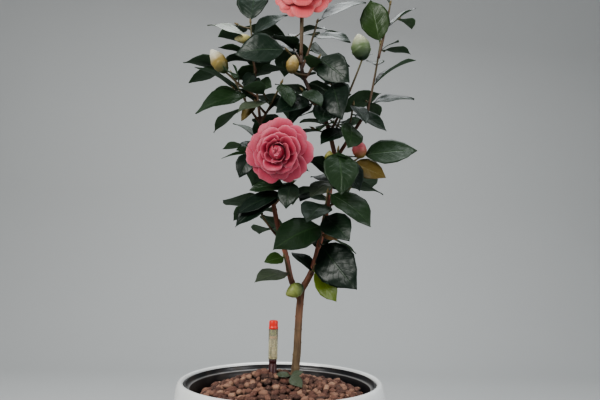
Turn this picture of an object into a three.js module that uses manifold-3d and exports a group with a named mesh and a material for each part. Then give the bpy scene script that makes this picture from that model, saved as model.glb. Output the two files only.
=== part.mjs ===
// A young camellia shrub with double blooms, growing in a round glazed pot filled with clay granules.
// Millimetres, +Z up. The origin is the middle of the pot's underside, on the floor. +X runs to the
// right as the plant is seen from its front, +Y runs away behind it.

import * as THREE from "three";
import { mergeVertices } from "three/addons/utils/BufferGeometryUtils.js";
import Module from "manifold-3d";

const wasm = await Module();
wasm.setup();

// Pot, liner and granules

const POT_HEIGHT = 260;
const POT_WIDEST = 140;
const POT_WIDEST_AT = 236;
const POT_FOOT = 98;
const POT_WALL = 5;
const POT_FLOOR = 8;
const POT_CREST = 133.5;
const LEDGE_HEIGHT = 247;
const LEDGE_RADIUS = 124.2;
const LINER_RIM = 128.3;
const LINER_TOP = 257;
const LINER_STEP = 251;
const LINER_WALL = 3;
const LINER_FLOOR = 70;
const LINER_FOOT = 94;
const ROUND_SIDES = 42;
const CLEAR = 0.3;
const MESH_SLACK = 0.08;
const GROUND = 247.7;
const GROUND_FALL = 14;
const GROUND_TILT = 5;
const GROUND_TILT_BEARING = 46;
const MOUND = { x: -22, y: 6, rise: 14.5, spread: 43 };
const GROUND_EDGE = 226;
const BUMP = 2.2;

// Water gauge

const GAUGE_X = -11;
const GAUGE_Y = 0;
const GAUGE_RADIUS = 6.4;
const GAUGE_STEM = 5.3;
const GAUGE_FOOT = 226;
const GAUGE_STEM_TOP = 286;
const GAUGE_CAP = 326;
const GAUGE_TOP = 338;

// Growth

const TRUNK_FOOT = 250;
const TRUNK_FLARE = 2.4;
const FLARE_FALL = 14;
const LEAN_DIP = 0.6;
const LIMB_SIDES = 8;
const TWIG_SIDES = 4;
const TWIG_FOOT = 2.0;
const TWIG_TIP = 1.2;
const TWIG_SAG = 0.1;
const STEM_BARE = 10;
const LEAF_BREADTH = 0.62;
const LEAF_THICK = 2.2;
const LEAF_ARCH = 0.5;
const PETIOLE = 1.1;
const AIMED_ROOM = 5.5;
const LEAF_ROOM = 7.5;
const LIMB_ROOM = 3;
const BUD_ROOM = 1;

// Limbs: where the axis runs, the radius at the foot and the radius at the tip

const LIMBS = {
  trunk: {
    foot: 5.4,
    tip: 4.8,
    axis: [[18.5, 0, TRUNK_FOOT], [21.8, 0, 300], [24.2, 2, 350], [27, 3, 384]],
  },
  leader_right: {
    foot: 4.6,
    tip: 3.4,
    axis: [[27, 3, 380], [40, 5, 404], [50, 6, 440], [63, 8, 506], [71, 7, 576]],
  },
  leader_left: {
    foot: 4.2,
    tip: 2.6,
    axis: [
      [24, 2, 368], [12, -1, 394], [5, -3, 425], [-8, -3, 469],
      [-16, -2, 505], [-31, 2, 577], [-37, 4, 626],
    ],
  },
  leader_top: {
    foot: 3.2,
    tip: 2.4,
    axis: [[71, 7, 576], [60, 4, 616], [42, 0, 651], [24, -2, 688], [21, -3, 722]],
  },
  bough_upper_right: {
    foot: 2.8,
    tip: 2.1,
    axis: [[71, 7, 562], [88, 7, 590], [106, 6, 618], [118, 5, 638]],
  },
};

// Foliage masses. Each shoot runs from a place on its limb to a tip and carries leaves from the tip down.
// An aimed leaf is told by its bearing round the plant (0 right, 90 away), its rise, its length and how
// far it is rolled about its midrib. "more" leaves follow, drawn from the mass's own seed.

const MASSES = {
  low_right: {
    seed: 3,
    shoots: [
      {
        from: [50, 6, 436],
        to: [60, -28, 512],
        aimed: [
          [-19, -37, 77, -40], [-118, -26, 66, 20], [-56, -34, 67, -40],
          [-148, -24, 87, 45], [-30, -17, 27, -30], [-48, -42, 93, -62],
        ],
      },
    ],
  },
  low_fork: {
    seed: 5,
    shoots: [
      {
        from: [38, 5, 400],
        to: [44, -12, 412],
        aimed: [
          [-13, -31, 52, -50], [-44, -53, 55, -60], [131, 34, 53, 0],
        ],
      },
      {
        from: [24, 0, 376],
        to: [26, -17, 384],
        bud: "low",
      },
    ],
  },
  low_left: {
    seed: 7,
    shoots: [
      {
        from: [12, -1, 396],
        to: [3, -20, 424],
        aimed: [
          [-146, -12, 33, 50], [-144, -11, 58, 22],
        ],
      },
    ],
  },
  below_bloom: {
    seed: 11,
    shoots: [
      {
        from: [-14, -2, 497],
        to: [10, -24, 528],
        aimed: [
          [-57, -57, 49, 0], [154, -5, 54, 45], [-176, -27, 73, 35],
          [-151, -34, 77, 35],
        ],
        more: 1,
      },
    ],
  },
  mid_left: {
    seed: 13,
    shoots: [
      {
        from: [-29, 1, 560],
        to: [-50, -4, 575],
        aimed: [
          [-162, -5, 20, 55], [-142, -61, 44, 50], [119, 39, 47, 20],
        ],
        more: 1,
      },
    ],
  },
  mid_right: {
    seed: 17,
    shoots: [
      {
        from: [69, 7, 548],
        to: [108, -8, 568],
        aimed: [
          [-3, 5, 79, -55], [-16, -22, 56, -60], [60, 10, 60, 0],
        ],
        bud: "pink",
      },
    ],
  },
  mid_front: {
    seed: 18,
    shoots: [
      {
        from: [66, 8, 526],
        to: [74, -26, 572],
        aimed: [
          [-87, -62, 77, 0], [-46, -45, 63, -30], [-145, 22, 43, 70],
          [-129, -34, 50, 30],
        ],
      },
      {
        from: [66, 7, 538],
        to: [62, -16, 560],
        bud: "small",
      },
    ],
  },
  side_right: {
    seed: 19,
    shoots: [
      {
        from: [88, 7, 590],
        to: [96, -12, 640],
        aimed: [
          [-62, -47, 47, 0], [-4, -26, 56, -45], [-100, -50, 60, 40],
          [-157, -28, 57, 30],
        ],
        more: 1,
      },
    ],
  },
  centre: {
    seed: 23,
    shoots: [
      {
        from: [57, 3, 622],
        to: [66, -14, 672],
        aimed: [
          [-75, -58, 75, -45], [150, 30, 50, 0], [-99, -43, 57, 20],
          [75, 10, 54, 0],
        ],
      },
    ],
  },
  centre_left: {
    seed: 24,
    shoots: [
      {
        from: [47, 1, 643],
        to: [24, -26, 656],
        aimed: [
          [-42, -39, 46, -30], [-142, -30, 65, 45], [-120, -44, 55, 30],
        ],
      },
    ],
  },
  inner_left: {
    seed: 29,
    shoots: [
      {
        from: [-36, 4, 618],
        to: [-6, -32, 664],
        aimed: [
          [-31, -57, 47, -10], [-154, -21, 57, 25], [-33, 37, 50, -40],
        ],
      },
      {
        from: [-28, -6, 628],
        to: [-40, -16, 640],
        aimed: [
          [-153, -50, 34, 60], [170, -30, 44, 40],
        ],
      },
    ],
  },
  upper_centre: {
    seed: 31,
    shoots: [
      {
        from: [27, -2, 682],
        to: [46, -14, 708],
        aimed: [
          [-30, -41, 71, -75], [20, 2, 54, -50], [-92, -49, 87, 20],
          [-160, -20, 44, 30], [100, 10, 56, 0],
        ],
      },
      {
        from: [32, -5, 686],
        to: [8, -25, 684],
        aimed: [
          [150, 10, 56, 0],
        ],
        bud: "inner",
      },
    ],
  },
  inner_upper_left: {
    seed: 37,
    shoots: [
      {
        from: [22, -3, 704],
        to: [2, -30, 712],
        aimed: [
          [180, -5, 76, 78], [110, 0, 50, 0],
        ],
      },
    ],
  },
  upper_left: {
    seed: 41,
    shoots: [
      {
        from: [-37, 4, 624],
        to: [-54, 0, 766],
        aimed: [
          [83, 67, 80, 0], [-16, 29, 61, -52], [80, -20, 60, 0],
          [150, 10, 54, 0], [-142, -50, 31, 60], [-52, -20, 44, -60],
          [60, 0, 64, 0], [-135, 37, 40, 40],
        ],
      },
      {
        from: [-40, 4, 654],
        to: [-87, -18, 686],
        aimed: [
          [-60, -30, 44, 20], [180, 70, 32, 0], [-152, -22, 88, 40],
        ],
        bud: "left_tall",
      },
      {
        from: [-44, 3, 690],
        to: [-54, -12, 736],
        aimed: [
          [-178, 19, 65, 35], [-60, -30, 44, -40],
        ],
        bud: "left_small",
      },
    ],
  },
  top: {
    seed: 43,
    shoots: [
      {
        from: [23, -2, 698],
        to: [44, 8, 772],
        aimed: [
          [-8, 21, 78, -40], [-16, -12, 59, -40], [8, 1, 81, -50],
          [25, -10, 48, 0],
        ],
      },
    ],
  },
  bud_bough: {
    seed: 47,
    shoots: [
      {
        from: [64, 5, 604],
        to: [110, -8, 712],
        aimed: [
          [95, 20, 50, 0], [150, 0, 50, 0], [60, 10, 50, 0],
        ],
        bud: "green",
      },
    ],
  },
  upper_right: {
    seed: 53,
    shoots: [
      {
        from: [118, 5, 634],
        to: [137, 3, 738],
        aimed: [
          [180, 79, 70, 90], [90, 30, 44, 0], [5, 36, 79, -10],
          [-13, 4, 65, -30],
        ],
      },
      {
        from: [134, 3, 716],
        to: [152, 4, 800],
        aimed: [
          [150, 50, 50, 0], [1, 36, 57, -20], [34, 33, 46, 0],
        ],
      },
    ],
  },
  back_low: {
    seed: 59,
    shoots: [
      {
        from: [44, 6, 418],
        to: [54, 66, 470],
        more: 7,
      },
    ],
  },
  back_left_low: {
    seed: 61,
    shoots: [
      {
        from: [-2, -3, 448],
        to: [-40, 56, 498],
        more: 7,
      },
    ],
  },
  back_right_low: {
    seed: 67,
    shoots: [
      {
        from: [60, 7, 492],
        to: [98, 62, 548],
        more: 8,
      },
    ],
  },
  back_left: {
    seed: 71,
    shoots: [
      {
        from: [-24, 0, 543],
        to: [-44, 68, 606],
        more: 8,
      },
    ],
  },
  back_right: {
    seed: 73,
    shoots: [
      {
        from: [66, 5, 596],
        to: [88, 66, 656],
        more: 8,
      },
    ],
  },
  back_centre: {
    seed: 79,
    shoots: [
      {
        from: [48, 1, 640],
        to: [24, 70, 690],
        more: 8,
      },
    ],
  },
  back_high: {
    seed: 83,
    shoots: [
      {
        from: [22, -3, 708],
        to: [2, 56, 768],
        more: 9,
      },
    ],
  },
  back_upper_left: {
    seed: 89,
    shoots: [
      {
        from: [-36, 4, 616],
        to: [-86, 48, 706],
        more: 8,
      },
    ],
  },
};

// Blooms: where the stalk leaves its limb, the heart of the bloom, which way it looks and its radius

const BLOOMS = {
  bloom_front: {
    from: [-22, -1, 540],
    heart: [-8, -62, 561],
    looks: [-0.1, -1, -0.17],
    radius: 49,
    seed: 97,
  },
  bloom_top: {
    from: [21, -3, 716],
    heart: [22, -25, 815],
    looks: [0.03, -0.97, 0.2],
    radius: 51,
    seed: 107,
  },
};
const BLOOM_DEPTH = 0.34;
const HEART_BREADTH = 0.3;
const HEART_HEIGHT = 0.56;
const PETAL_THICK = 2.4;
const SCALLOP = 0.13;

// Balls that keep leaves out of a bloom, in bloom radii: one in its middle and a ring of them at its rim,
// each with its radius and how far behind the heart it lies
const CORE_BALL = { radius: 0.6, behind: 0.08 };
const RIM_BALL = { radius: 0.33, behind: 0.2, out: 0.78, count: 12 };
const RING_STEP = 0.04;

// Bowls of petals from the outside in: how far each leans out at its edge, and its length in bloom radii
const PETAL_RINGS = [
  { petals: 8, lean: 91, reach: 1.0 },
  { petals: 7, lean: 78, reach: 0.9 },
  { petals: 6, lean: 68, reach: 0.74 },
  { petals: 5, lean: 51, reach: 0.58 },
];

// Flower buds: the radius, the length and which way each one points

const BUDS = {
  left_tall: { radius: 12, length: 38, points: [-0.56, -0.1, 0.83] },
  left_small: { radius: 7, length: 24, points: [-1, -0.1, -0.05] },
  inner: { radius: 10, length: 26, points: [0.15, -0.1, 1] },
  green: { radius: 15, length: 40, points: [-0.2, -0.05, 1] },
  pink: { radius: 11, length: 27, points: [-0.3, -0.1, 1] },
  small: { radius: 7, length: 16, points: [0.1, -0.1, 1] },
  low: { radius: 10.5, length: 34, points: [-0.86, -0.22, -0.44] },
};

// Small vector helpers

const vec = (p) => new THREE.Vector3(...p);
const bearingVector = (bearing, rise) => {
  const b = THREE.MathUtils.degToRad(bearing);
  const r = THREE.MathUtils.degToRad(rise);
  return new THREE.Vector3(Math.cos(b) * Math.cos(r), Math.sin(b) * Math.cos(r), Math.sin(r));
};

// Seeded draw: the same numbers every time, from lo to hi
function seededDraw(seed) {
  let state = seed * 7919;
  return (lo, hi) => {
    state = (state * 16807) % 2147483647;
    return lo + ((hi - lo) * state) / 2147483647;
  };
}

// Closed solid from a closed geometry
function solid(geometry, weld = 1e-4) {
  const bare = geometry.clone();
  bare.deleteAttribute("normal");
  bare.deleteAttribute("uv");
  const welded = mergeVertices(bare, weld);
  return new wasm.Manifold(
    new wasm.Mesh({
      numProp: 3,
      vertProperties: new Float32Array(welded.attributes.position.array),
      triVerts: new Uint32Array(welded.index.array),
    }),
  );
}

// The outer skin of a solid's biggest piece: a sealed hollow is filled and loose scrap falls away.
// Corners closer than a thousandth are welded, which can part off a sliver, so it is done a few times.
function mainPiece(made) {
  let kept = made.simplify(MESH_SLACK);
  for (let pass = 0; pass < 3; pass += 1) {
    const { vertProperties, triVerts } = kept.getMesh();
    const geometry = new THREE.BufferGeometry();
    geometry.setAttribute("position", new THREE.BufferAttribute(new Float32Array(vertProperties), 3));
    geometry.setIndex(new THREE.BufferAttribute(new Uint32Array(triVerts), 1));
    const skins = solid(geometry.toNonIndexed(), 1e-3).decompose();
    kept = skins.reduce((best, skin) => (skin.volume() > best.volume() ? skin : best));
  }
  return kept;
}

// A closed round bar whose every point is placed by bend(t, x, z), where t runs along it from 0 to 1
function bentBar(sides, steps, bend) {
  const bar = new THREE.CylinderGeometry(1, 1, 1, sides, steps);
  const position = bar.attributes.position;
  for (let i = 0; i < position.count; i += 1) {
    const placed = bend(position.getY(i) + 0.5, position.getX(i), position.getZ(i));
    position.setXYZ(i, placed.x, placed.y, placed.z);
  }
  return solid(bar);
}

// A turned solid from a profile of radius and height
function turned(profile, sides = ROUND_SIDES) {
  const lathe = new THREE.LatheGeometry(profile.map(([r, z]) => new THREE.Vector2(r, z)), sides);
  lathe.rotateX(Math.PI / 2);
  return solid(lathe);
}

// Limb: round section that tapers along a smooth curve, with a flared root where one is asked for
function limb(axis, foot, tip, flare, grow = 0) {
  const curve = new THREE.CatmullRomCurve3(axis.map(vec), false, "centripetal");
  const across = new THREE.Vector3(1, 0.15, 0);
  return bentBar(LIMB_SIDES, 3 * (axis.length - 1), (t, x, z) => {
    const along = curve.getTangent(t);
    const side = across.clone().addScaledVector(along, -across.dot(along)).normalize();
    const front = new THREE.Vector3().crossVectors(side, along);
    const radius = foot + (tip - foot) * t + flare * Math.exp(-FLARE_FALL * t) + grow;
    return curve.getPoint(t).addScaledVector(side, x * radius).addScaledVector(front, z * radius);
  });
}

// Twig: sags a little between its ends
function twigPoint(from, to, t) {
  const a = vec(from);
  const c = vec(to);
  const b = a.clone().add(c).multiplyScalar(0.5);
  b.z -= TWIG_SAG * a.distanceTo(c);
  return a.multiplyScalar((1 - t) ** 2).addScaledVector(b, 2 * t * (1 - t)).addScaledVector(c, t * t);
}

function twig(from, to) {
  const run = [0, 0.25, 0.5, 0.75, 1].map((t) => twigPoint(from, to, t).toArray());
  const level = Math.abs(to[2] - from[2]) < 0.5 * vec(from).distanceTo(vec(to));
  const curve = new THREE.CatmullRomCurve3(run.map(vec));
  const across = level ? new THREE.Vector3(0, 0, 1) : new THREE.Vector3(1, 0.15, 0);
  return bentBar(TWIG_SIDES, 3, (t, x, z) => {
    const along = curve.getTangent(t);
    const side = across.clone().addScaledVector(along, -across.dot(along)).normalize();
    const front = new THREE.Vector3().crossVectors(side, along);
    const radius = TWIG_FOOT + (TWIG_TIP - TWIG_FOOT) * t;
    return curve.getPoint(t).addScaledVector(side, x * radius).addScaledVector(front, z * radius);
  });
}

// Leaf: its midrib is an arc whose chord has the given bearing, rise and length, and the blade is rolled
// about that chord by "turn" degrees. u runs from the root to the tip, v from edge to edge.
function leafFrame(root, bearing, rise, length, turn) {
  const chord = bearingVector(bearing, rise);
  const level = new THREE.Vector3().crossVectors(chord, new THREE.Vector3(0, 0, 1)).normalize();
  const upper = new THREE.Vector3().crossVectors(level, chord);
  const roll = THREE.MathUtils.degToRad(turn);
  const side = level.clone().multiplyScalar(Math.cos(roll)).addScaledVector(upper, Math.sin(roll));
  const face = upper.clone().multiplyScalar(Math.cos(roll)).addScaledVector(level, -Math.sin(roll));
  const half = LEAF_ARCH / 2;
  const along = chord.clone().multiplyScalar(Math.cos(half)).addScaledVector(face, Math.sin(half));
  const up = face.clone().multiplyScalar(Math.cos(half)).addScaledVector(chord, -Math.sin(half));
  return { root, side, along, up, length };
}

function leafHalf(u, length) {
  const s = Math.max(0, (u - 0.08) / 0.92);
  const blade = 0.5 * LEAF_BREADTH * length * Math.sin(Math.PI * s ** 0.85) ** 0.8;
  return Math.max(blade, PETIOLE * (u < 0.5 ? 1 : 0.5));
}

function leafPoint(leaf, u, v, lift = 0) {
  const bow = LEAF_ARCH * u;
  const ring = leaf.length / LEAF_ARCH;
  const up = leaf.up.clone().multiplyScalar(Math.cos(bow)).addScaledVector(leaf.along, Math.sin(bow));
  return leaf.root.clone()
    .addScaledVector(leaf.along, ring * Math.sin(bow))
    .addScaledVector(leaf.up, -ring * (1 - Math.cos(bow)))
    .addScaledVector(leaf.side, v * leafHalf(u, leaf.length))
    .addScaledVector(up, lift);
}

function leafSolid(leaf) {
  const stations = [0, 0.1, 0.36, 0.72, 1];
  return bentBar(4, 4, (t, x, z) => {
    const u = stations[Math.round(t * 4)];
    const thick = u < 0.2 ? 2 * PETIOLE : LEAF_THICK * (1 - 0.6 * u * u);
    return leafPoint(leaf, u, x, (z * thick) / 2);
  });
}

// Places on a leaf that are kept clear of everything already grown
function leafPlaces(leaf) {
  const places = [];
  for (let i = 0; i <= 8; i += 1) {
    for (const v of [-0.9, -0.45, 0, 0.45, 0.9]) {
      places.push(leafPoint(leaf, 0.3 + (0.7 * i) / 8, v));
    }
  }
  return places;
}

// Balls along a limb or twig, which leaves keep clear of
function ballsAlong(pointAt, foot, tip, length, mass) {
  const count = Math.ceil(length / 5);
  const balls = [];
  for (let i = 0; i <= count; i += 1) {
    const t = i / count;
    balls.push({ at: pointAt(t), radius: foot + (tip - foot) * t + LIMB_ROOM, mass });
  }
  return balls;
}
function ballsOfTwig(from, to, mass) {
  const length = vec(from).distanceTo(vec(to));
  return ballsAlong((t) => twigPoint(from, to, t), TWIG_FOOT, TWIG_TIP, length, mass);
}

// Which way a bloom looks, with two directions across it
function bloomFrame(looks) {
  const out = vec(looks).normalize();
  const level = new THREE.Vector3(0, 0, 1).cross(out).normalize();
  return { out, level, third: new THREE.Vector3().crossVectors(out, level) };
}

const taken = [];
for (const { axis, foot, tip } of Object.values(LIMBS)) {
  const curve = new THREE.CatmullRomCurve3(axis.map(vec), false, "centripetal");
  taken.push(...ballsAlong((t) => curve.getPoint(t), foot, tip, curve.getLength(), ""));
}
for (const { from, heart, looks, radius } of Object.values(BLOOMS)) {
  const { out, level, third } = bloomFrame(looks);
  const middle = vec(heart).addScaledVector(out, -CORE_BALL.behind * radius);
  taken.push({ at: middle, radius: CORE_BALL.radius * radius, mass: "" }, ...ballsOfTwig(from, heart, ""));
  for (let i = 0; i < RIM_BALL.count; i += 1) {
    const angle = (2 * Math.PI * i) / RIM_BALL.count;
    const rim = level.clone().multiplyScalar(Math.cos(angle)).addScaledVector(third, Math.sin(angle));
    const at = rim.multiplyScalar(RIM_BALL.out * radius).addScaledVector(out, -RIM_BALL.behind * radius);
    taken.push({ at: at.add(vec(heart)), radius: RIM_BALL.radius * radius, mass: "" });
  }
}
for (const [name, { shoots }] of Object.entries(MASSES)) {
  for (const { from, to, bud } of shoots) {
    taken.push(...ballsOfTwig(from, to, name));
    if (bud) {
      const { radius, length, points } = BUDS[bud];
      const at = vec(to).addScaledVector(vec(points).normalize(), 0.4 * length);
      taken.push({ at, radius: radius + BUD_ROOM, mass: "" });
    }
  }
}

const grownPlaces = [];
function hasRoom(places, mass, room) {
  const clearOfBalls = taken.every(
    (ball) => ball.mass === mass || places.every((place) => place.distanceTo(ball.at) > ball.radius),
  );
  const clearOf = (other) => places.every((place) => place.distanceTo(other) > room);
  return clearOfBalls && grownPlaces.every(clearOf);
}

// The leaves that a mass would like: aimed ones first, then seeded ones turning round the twig
function wantedLeaves(mass, { seed, shoots }) {
  const draw = seededDraw(seed);
  const wanted = [];
  for (const { from, to, aimed = [], more = 0 } of shoots) {
    const count = aimed.length + more;
    const start = draw(0, 360);
    const lowest = THREE.MathUtils.clamp(STEM_BARE / vec(from).distanceTo(vec(to)), 0.15, 0.6);
    for (let i = 0; i < count; i += 1) {
      const root = twigPoint(from, to, 1 - ((1 - lowest) * i) / Math.max(count - 1, 1));
      const seeded = [start + 137.5 * i, draw(-30, 34), draw(58, 80), draw(-20, 20)];
      wanted.push({ mass, root, isAimed: i < aimed.length, habit: i < aimed.length ? aimed[i] : seeded });
    }
  }
  return wanted;
}

// All aimed leaves grow before the seeded ones. A leaf without room is turned aside a little at a time,
// and left out if that doesn't help.
function growLeaves() {
  const wanted = Object.entries(MASSES).flatMap(([name, mass]) => wantedLeaves(name, mass));
  const leaves = [];
  for (const wave of [true, false]) {
    for (const { mass, root, habit } of wanted.filter(({ isAimed }) => isAimed === wave)) {
      const [bearing, rise, length, turn] = habit;
      for (const aside of [0, 10, -10, 20, -20, 32, -32, 46, -46]) {
        const leaf = leafFrame(root, bearing + aside, rise, length, turn);
        const places = leafPlaces(leaf);
        if (hasRoom(places, mass, wave ? AIMED_ROOM : LEAF_ROOM)) {
          leaves.push({ ...leaf, mass });
          grownPlaces.push(...places);
          break;
        }
      }
    }
  }
  return leaves;
}

// Flower bud: an egg on the end of its twig, its foot sunk into it
function budSolid(twigEnd, kind) {
  const { radius, length, points } = BUDS[kind];
  const end = vec(twigEnd);
  const along = vec(points).normalize();
  const across = new THREE.Vector3(1, 0.15, 0);
  const side = across.addScaledVector(along, -across.dot(along)).normalize();
  const front = new THREE.Vector3().crossVectors(side, along);
  return bentBar(8, 6, (t, x, z) => {
    const swell = Math.max(radius * Math.sin(Math.PI * Math.min(0.97, 0.06 + 0.91 * t ** 0.9)) ** 0.75, 0.8);
    return end.clone().addScaledVector(along, -3 + length * t)
      .addScaledVector(side, x * swell).addScaledVector(front, z * swell);
  });
}

// Bloom: scalloped bowls of petals, one inside the other, round a closed heart on a short stalk.
// A place in it is told by its distance from the axis, its height above the foot and its angle round it.
function bloomSolid({ from, heart, looks, radius, seed }) {
  const draw = seededDraw(seed);
  const { out, level, third } = bloomFrame(looks);
  const foot = vec(heart).addScaledVector(out, -BLOOM_DEPTH * radius);
  const place = (r, h, angle) => foot.clone()
    .addScaledVector(level, r * Math.cos(angle))
    .addScaledVector(third, r * Math.sin(angle))
    .addScaledVector(out, h);
  const parts = PETAL_RINGS.map(({ petals, lean, reach }, ring) => {
    const turn = draw(0, 2 * Math.PI);
    const edge = (share) => {
      const angle = THREE.MathUtils.degToRad(lean * (0.5 + 0.5 * share));
      const long = reach * radius * share;
      return [long * Math.sin(angle), long * Math.cos(angle) + RING_STEP * radius * ring];
    };
    const under = [[0, -PETAL_THICK], ...[0.4, 0.75, 1].map(edge)];
    const upper = [0.985, 0.72, 0.4].map(edge).map(([r, h]) => [r - 0.5 * PETAL_THICK, h + PETAL_THICK]);
    const profile = [...under, ...upper, [0, 2 * PETAL_THICK], [0, -PETAL_THICK]];
    const bowl = new THREE.LatheGeometry(profile.map(([r, h]) => new THREE.Vector2(r, h)), 4 * petals);
    const position = bowl.attributes.position;
    for (let i = 0; i < position.count; i += 1) {
      const angle = -Math.atan2(position.getZ(i), position.getX(i));
      const r = Math.hypot(position.getX(i), position.getZ(i));
      const share = r / (reach * radius);
      const notch = 1 - Math.abs(Math.cos((petals * (angle + turn)) / 2)) ** 0.7;
      const placed = place(r * (1 - SCALLOP * share * share * notch), position.getY(i), angle);
      position.setXYZ(i, placed.x, placed.y, placed.z);
    }
    return solid(bowl);
  });
  parts.push(bentBar(10, 4, (t, x, z) => {
    const swell = HEART_BREADTH * radius * Math.sin(Math.PI * (0.14 + 0.78 * t)) ** 0.8;
    return place(swell * Math.hypot(x, z), radius * (HEART_HEIGHT * t - 0.06), -Math.atan2(z, x));
  }));
  parts.push(twig(from, foot.toArray()));
  return mainPiece(wasm.Manifold.union(parts));
}

// Limbs, each cut back from the ones already made so that 0.3 mm of air is left at every joint

const limbSolids = {};
const limbSpaces = [];
for (const [name, { axis, foot, tip }] of Object.entries(LIMBS)) {
  const flare = name === "trunk" ? TRUNK_FLARE : 0;
  const cut = limbSpaces.reduce((rest, space) => rest.subtract(space), limb(axis, foot, tip, flare));
  limbSolids[name] = mainPiece(cut);
  limbSpaces.push(limb(axis, foot, tip, flare, CLEAR));
}
const cutFromLimbs = (made) => mainPiece(limbSpaces.reduce((rest, space) => rest.subtract(space), made));

const bloomSolids = {};
for (const [name, bloom] of Object.entries(BLOOMS)) {
  bloomSolids[name] = cutFromLimbs(bloomSolid(bloom));
}

const leaves = growLeaves();
const massSolids = {};
for (const [name, mass] of Object.entries(MASSES)) {
  const parts = leaves.filter((leaf) => leaf.mass === name).map(leafSolid);
  for (const { from, to, bud } of mass.shoots) {
    parts.push(twig(from, to));
    if (bud) {
      parts.push(budSolid(to, bud));
    }
  }
  massSolids[name] = cutFromLimbs(wasm.Manifold.union(parts));
}

// Small shoot with three leaves at the foot of the trunk

const BASAL = { from: [17, 0, 259], to: [14, -22, 268] };
const basalLeaves = [
  leafFrame(vec(BASAL.to), 175, 4, 20, 30),
  leafFrame(vec(BASAL.to), 14, 16, 18, -30),
  leafFrame(vec(BASAL.to), -54, -22, 28, -20),
];
const basalParts = [twig(BASAL.from, BASAL.to), ...basalLeaves.map(leafSolid)];
massSolids.basal_shoot = cutFromLimbs(wasm.Manifold.union(basalParts));

// Pot: tapering wall with a rounded lip, and a ledge inside the lip that the liner hangs on

const potSwell = (z) => Math.sin((Math.PI / 2) * (z / POT_WIDEST_AT)) ** 0.9;
const potWall = (z) => POT_FOOT + (POT_WIDEST - POT_FOOT) * potSwell(z);
const wallHeights = [80, 165];
const pot = turned([
  [0, 0], [POT_FOOT - 3, 0], [POT_FOOT, 4],
  ...wallHeights.map((z) => [potWall(z), z]),
  [POT_WIDEST, POT_WIDEST_AT], [POT_WIDEST - 0.6, POT_HEIGHT - 12], [POT_WIDEST - 3, POT_HEIGHT - 3],
  [POT_CREST, POT_HEIGHT], [POT_CREST - 4, POT_HEIGHT - 4], [POT_CREST - 4.6, LEDGE_HEIGHT],
  [LEDGE_RADIUS, LEDGE_HEIGHT], [LEDGE_RADIUS, LEDGE_HEIGHT - 5], [potWall(228) - POT_WALL, 228],
  ...wallHeights.slice().reverse().map((z) => [potWall(z) - POT_WALL, z]),
  [POT_FOOT - POT_WALL, POT_FLOOR], [0, POT_FLOOR], [0, 0],
]);

// Liner: a cup that hangs on the ledge by a flat step, with an upright edge that lines the pot's lip

const linerRise = (z) => (z - LINER_FLOOR) / (LEDGE_HEIGHT - LINER_FLOOR);
const linerWall = (z) => LINER_FOOT + (LEDGE_RADIUS - 2 * CLEAR - LINER_FOOT) * linerRise(z);
const liner = turned([
  [0, LINER_FLOOR], [LINER_FOOT, LINER_FLOOR], [linerWall(LEDGE_HEIGHT + CLEAR), LEDGE_HEIGHT + CLEAR],
  [LINER_RIM, LEDGE_HEIGHT + CLEAR], [LINER_RIM, LINER_TOP],
  [LINER_RIM - 2, LINER_TOP], [LINER_RIM - 2.4, LINER_STEP],
  [linerWall(LEDGE_HEIGHT) - LINER_WALL, LINER_STEP - 1.4],
  [LINER_FOOT - LINER_WALL, LINER_FLOOR + LINER_WALL], [0, LINER_FLOOR + LINER_WALL], [0, LINER_FLOOR],
]);

// Granules: fill the liner, low along its wall and heaped up beside the gauge, with knobbly seeded bumps

const linerInside = (z) => linerWall(z) - LINER_WALL;
const groundAt = (x, y) => {
  const share = Math.hypot(x, y) / linerInside(GROUND);
  const tilt = share * Math.cos(Math.atan2(y, x) - THREE.MathUtils.degToRad(GROUND_TILT_BEARING));
  const away = Math.hypot(x - MOUND.x, y - MOUND.y) / MOUND.spread;
  return GROUND - GROUND_FALL * share * share + GROUND_TILT * tilt + MOUND.rise * Math.exp(-away * away / 2);
};
function granulesSolid() {
  const draw = seededDraw(103);
  const heap = new THREE.SphereGeometry(1, 30, 14);
  const position = heap.attributes.position;
  const bumps = new Map();
  const bumpAt = (x, y) => {
    const key = `${Math.round(10 * x)} ${Math.round(10 * y)}`;
    bumps.set(key, bumps.get(key) ?? draw(-BUMP, BUMP));
    return bumps.get(key);
  };
  for (let i = 0; i < position.count; i += 1) {
    const height = position.getY(i);
    const isTop = height > -1e-6;
    const bearing = Math.atan2(-position.getZ(i), position.getX(i));
    const share = Math.acos(Math.min(Math.abs(height), 1)) / (Math.PI / 2);
    const reach = share * ((isTop ? linerInside(GROUND_EDGE) : LINER_FOOT - LINER_WALL) - 1);
    const x = reach * Math.cos(bearing);
    const y = reach * Math.sin(bearing);
    position.setXYZ(i, x, y, isTop ? groundAt(x, y) + bumpAt(x, y) : LINER_FLOOR + LINER_WALL + CLEAR);
  }
  return solid(heap);
}
function socket(radius, floor, x, y) {
  const profile = [[0, floor], [radius, floor], [radius, GAUGE_TOP], [0, GAUGE_TOP], [0, floor]];
  return turned(profile, 16).translate([x, y, 0]);
}
const [trunkX, trunkY] = LIMBS.trunk.axis[0];
const trunkFloor = TRUNK_FOOT - LEAN_DIP - CLEAR;
const trunkSocket = socket(LIMBS.trunk.foot + TRUNK_FLARE + 1.2, trunkFloor, trunkX, trunkY);
const gaugeSocket = socket(GAUGE_RADIUS + 1.6, GAUGE_FOOT, GAUGE_X, GAUGE_Y);
const granules = mainPiece(granulesSolid().subtract(trunkSocket).subtract(gaugeSocket));

// Water gauge: a stem standing in the granules, a wider clear tube on it and a red cap with a flange

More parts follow.
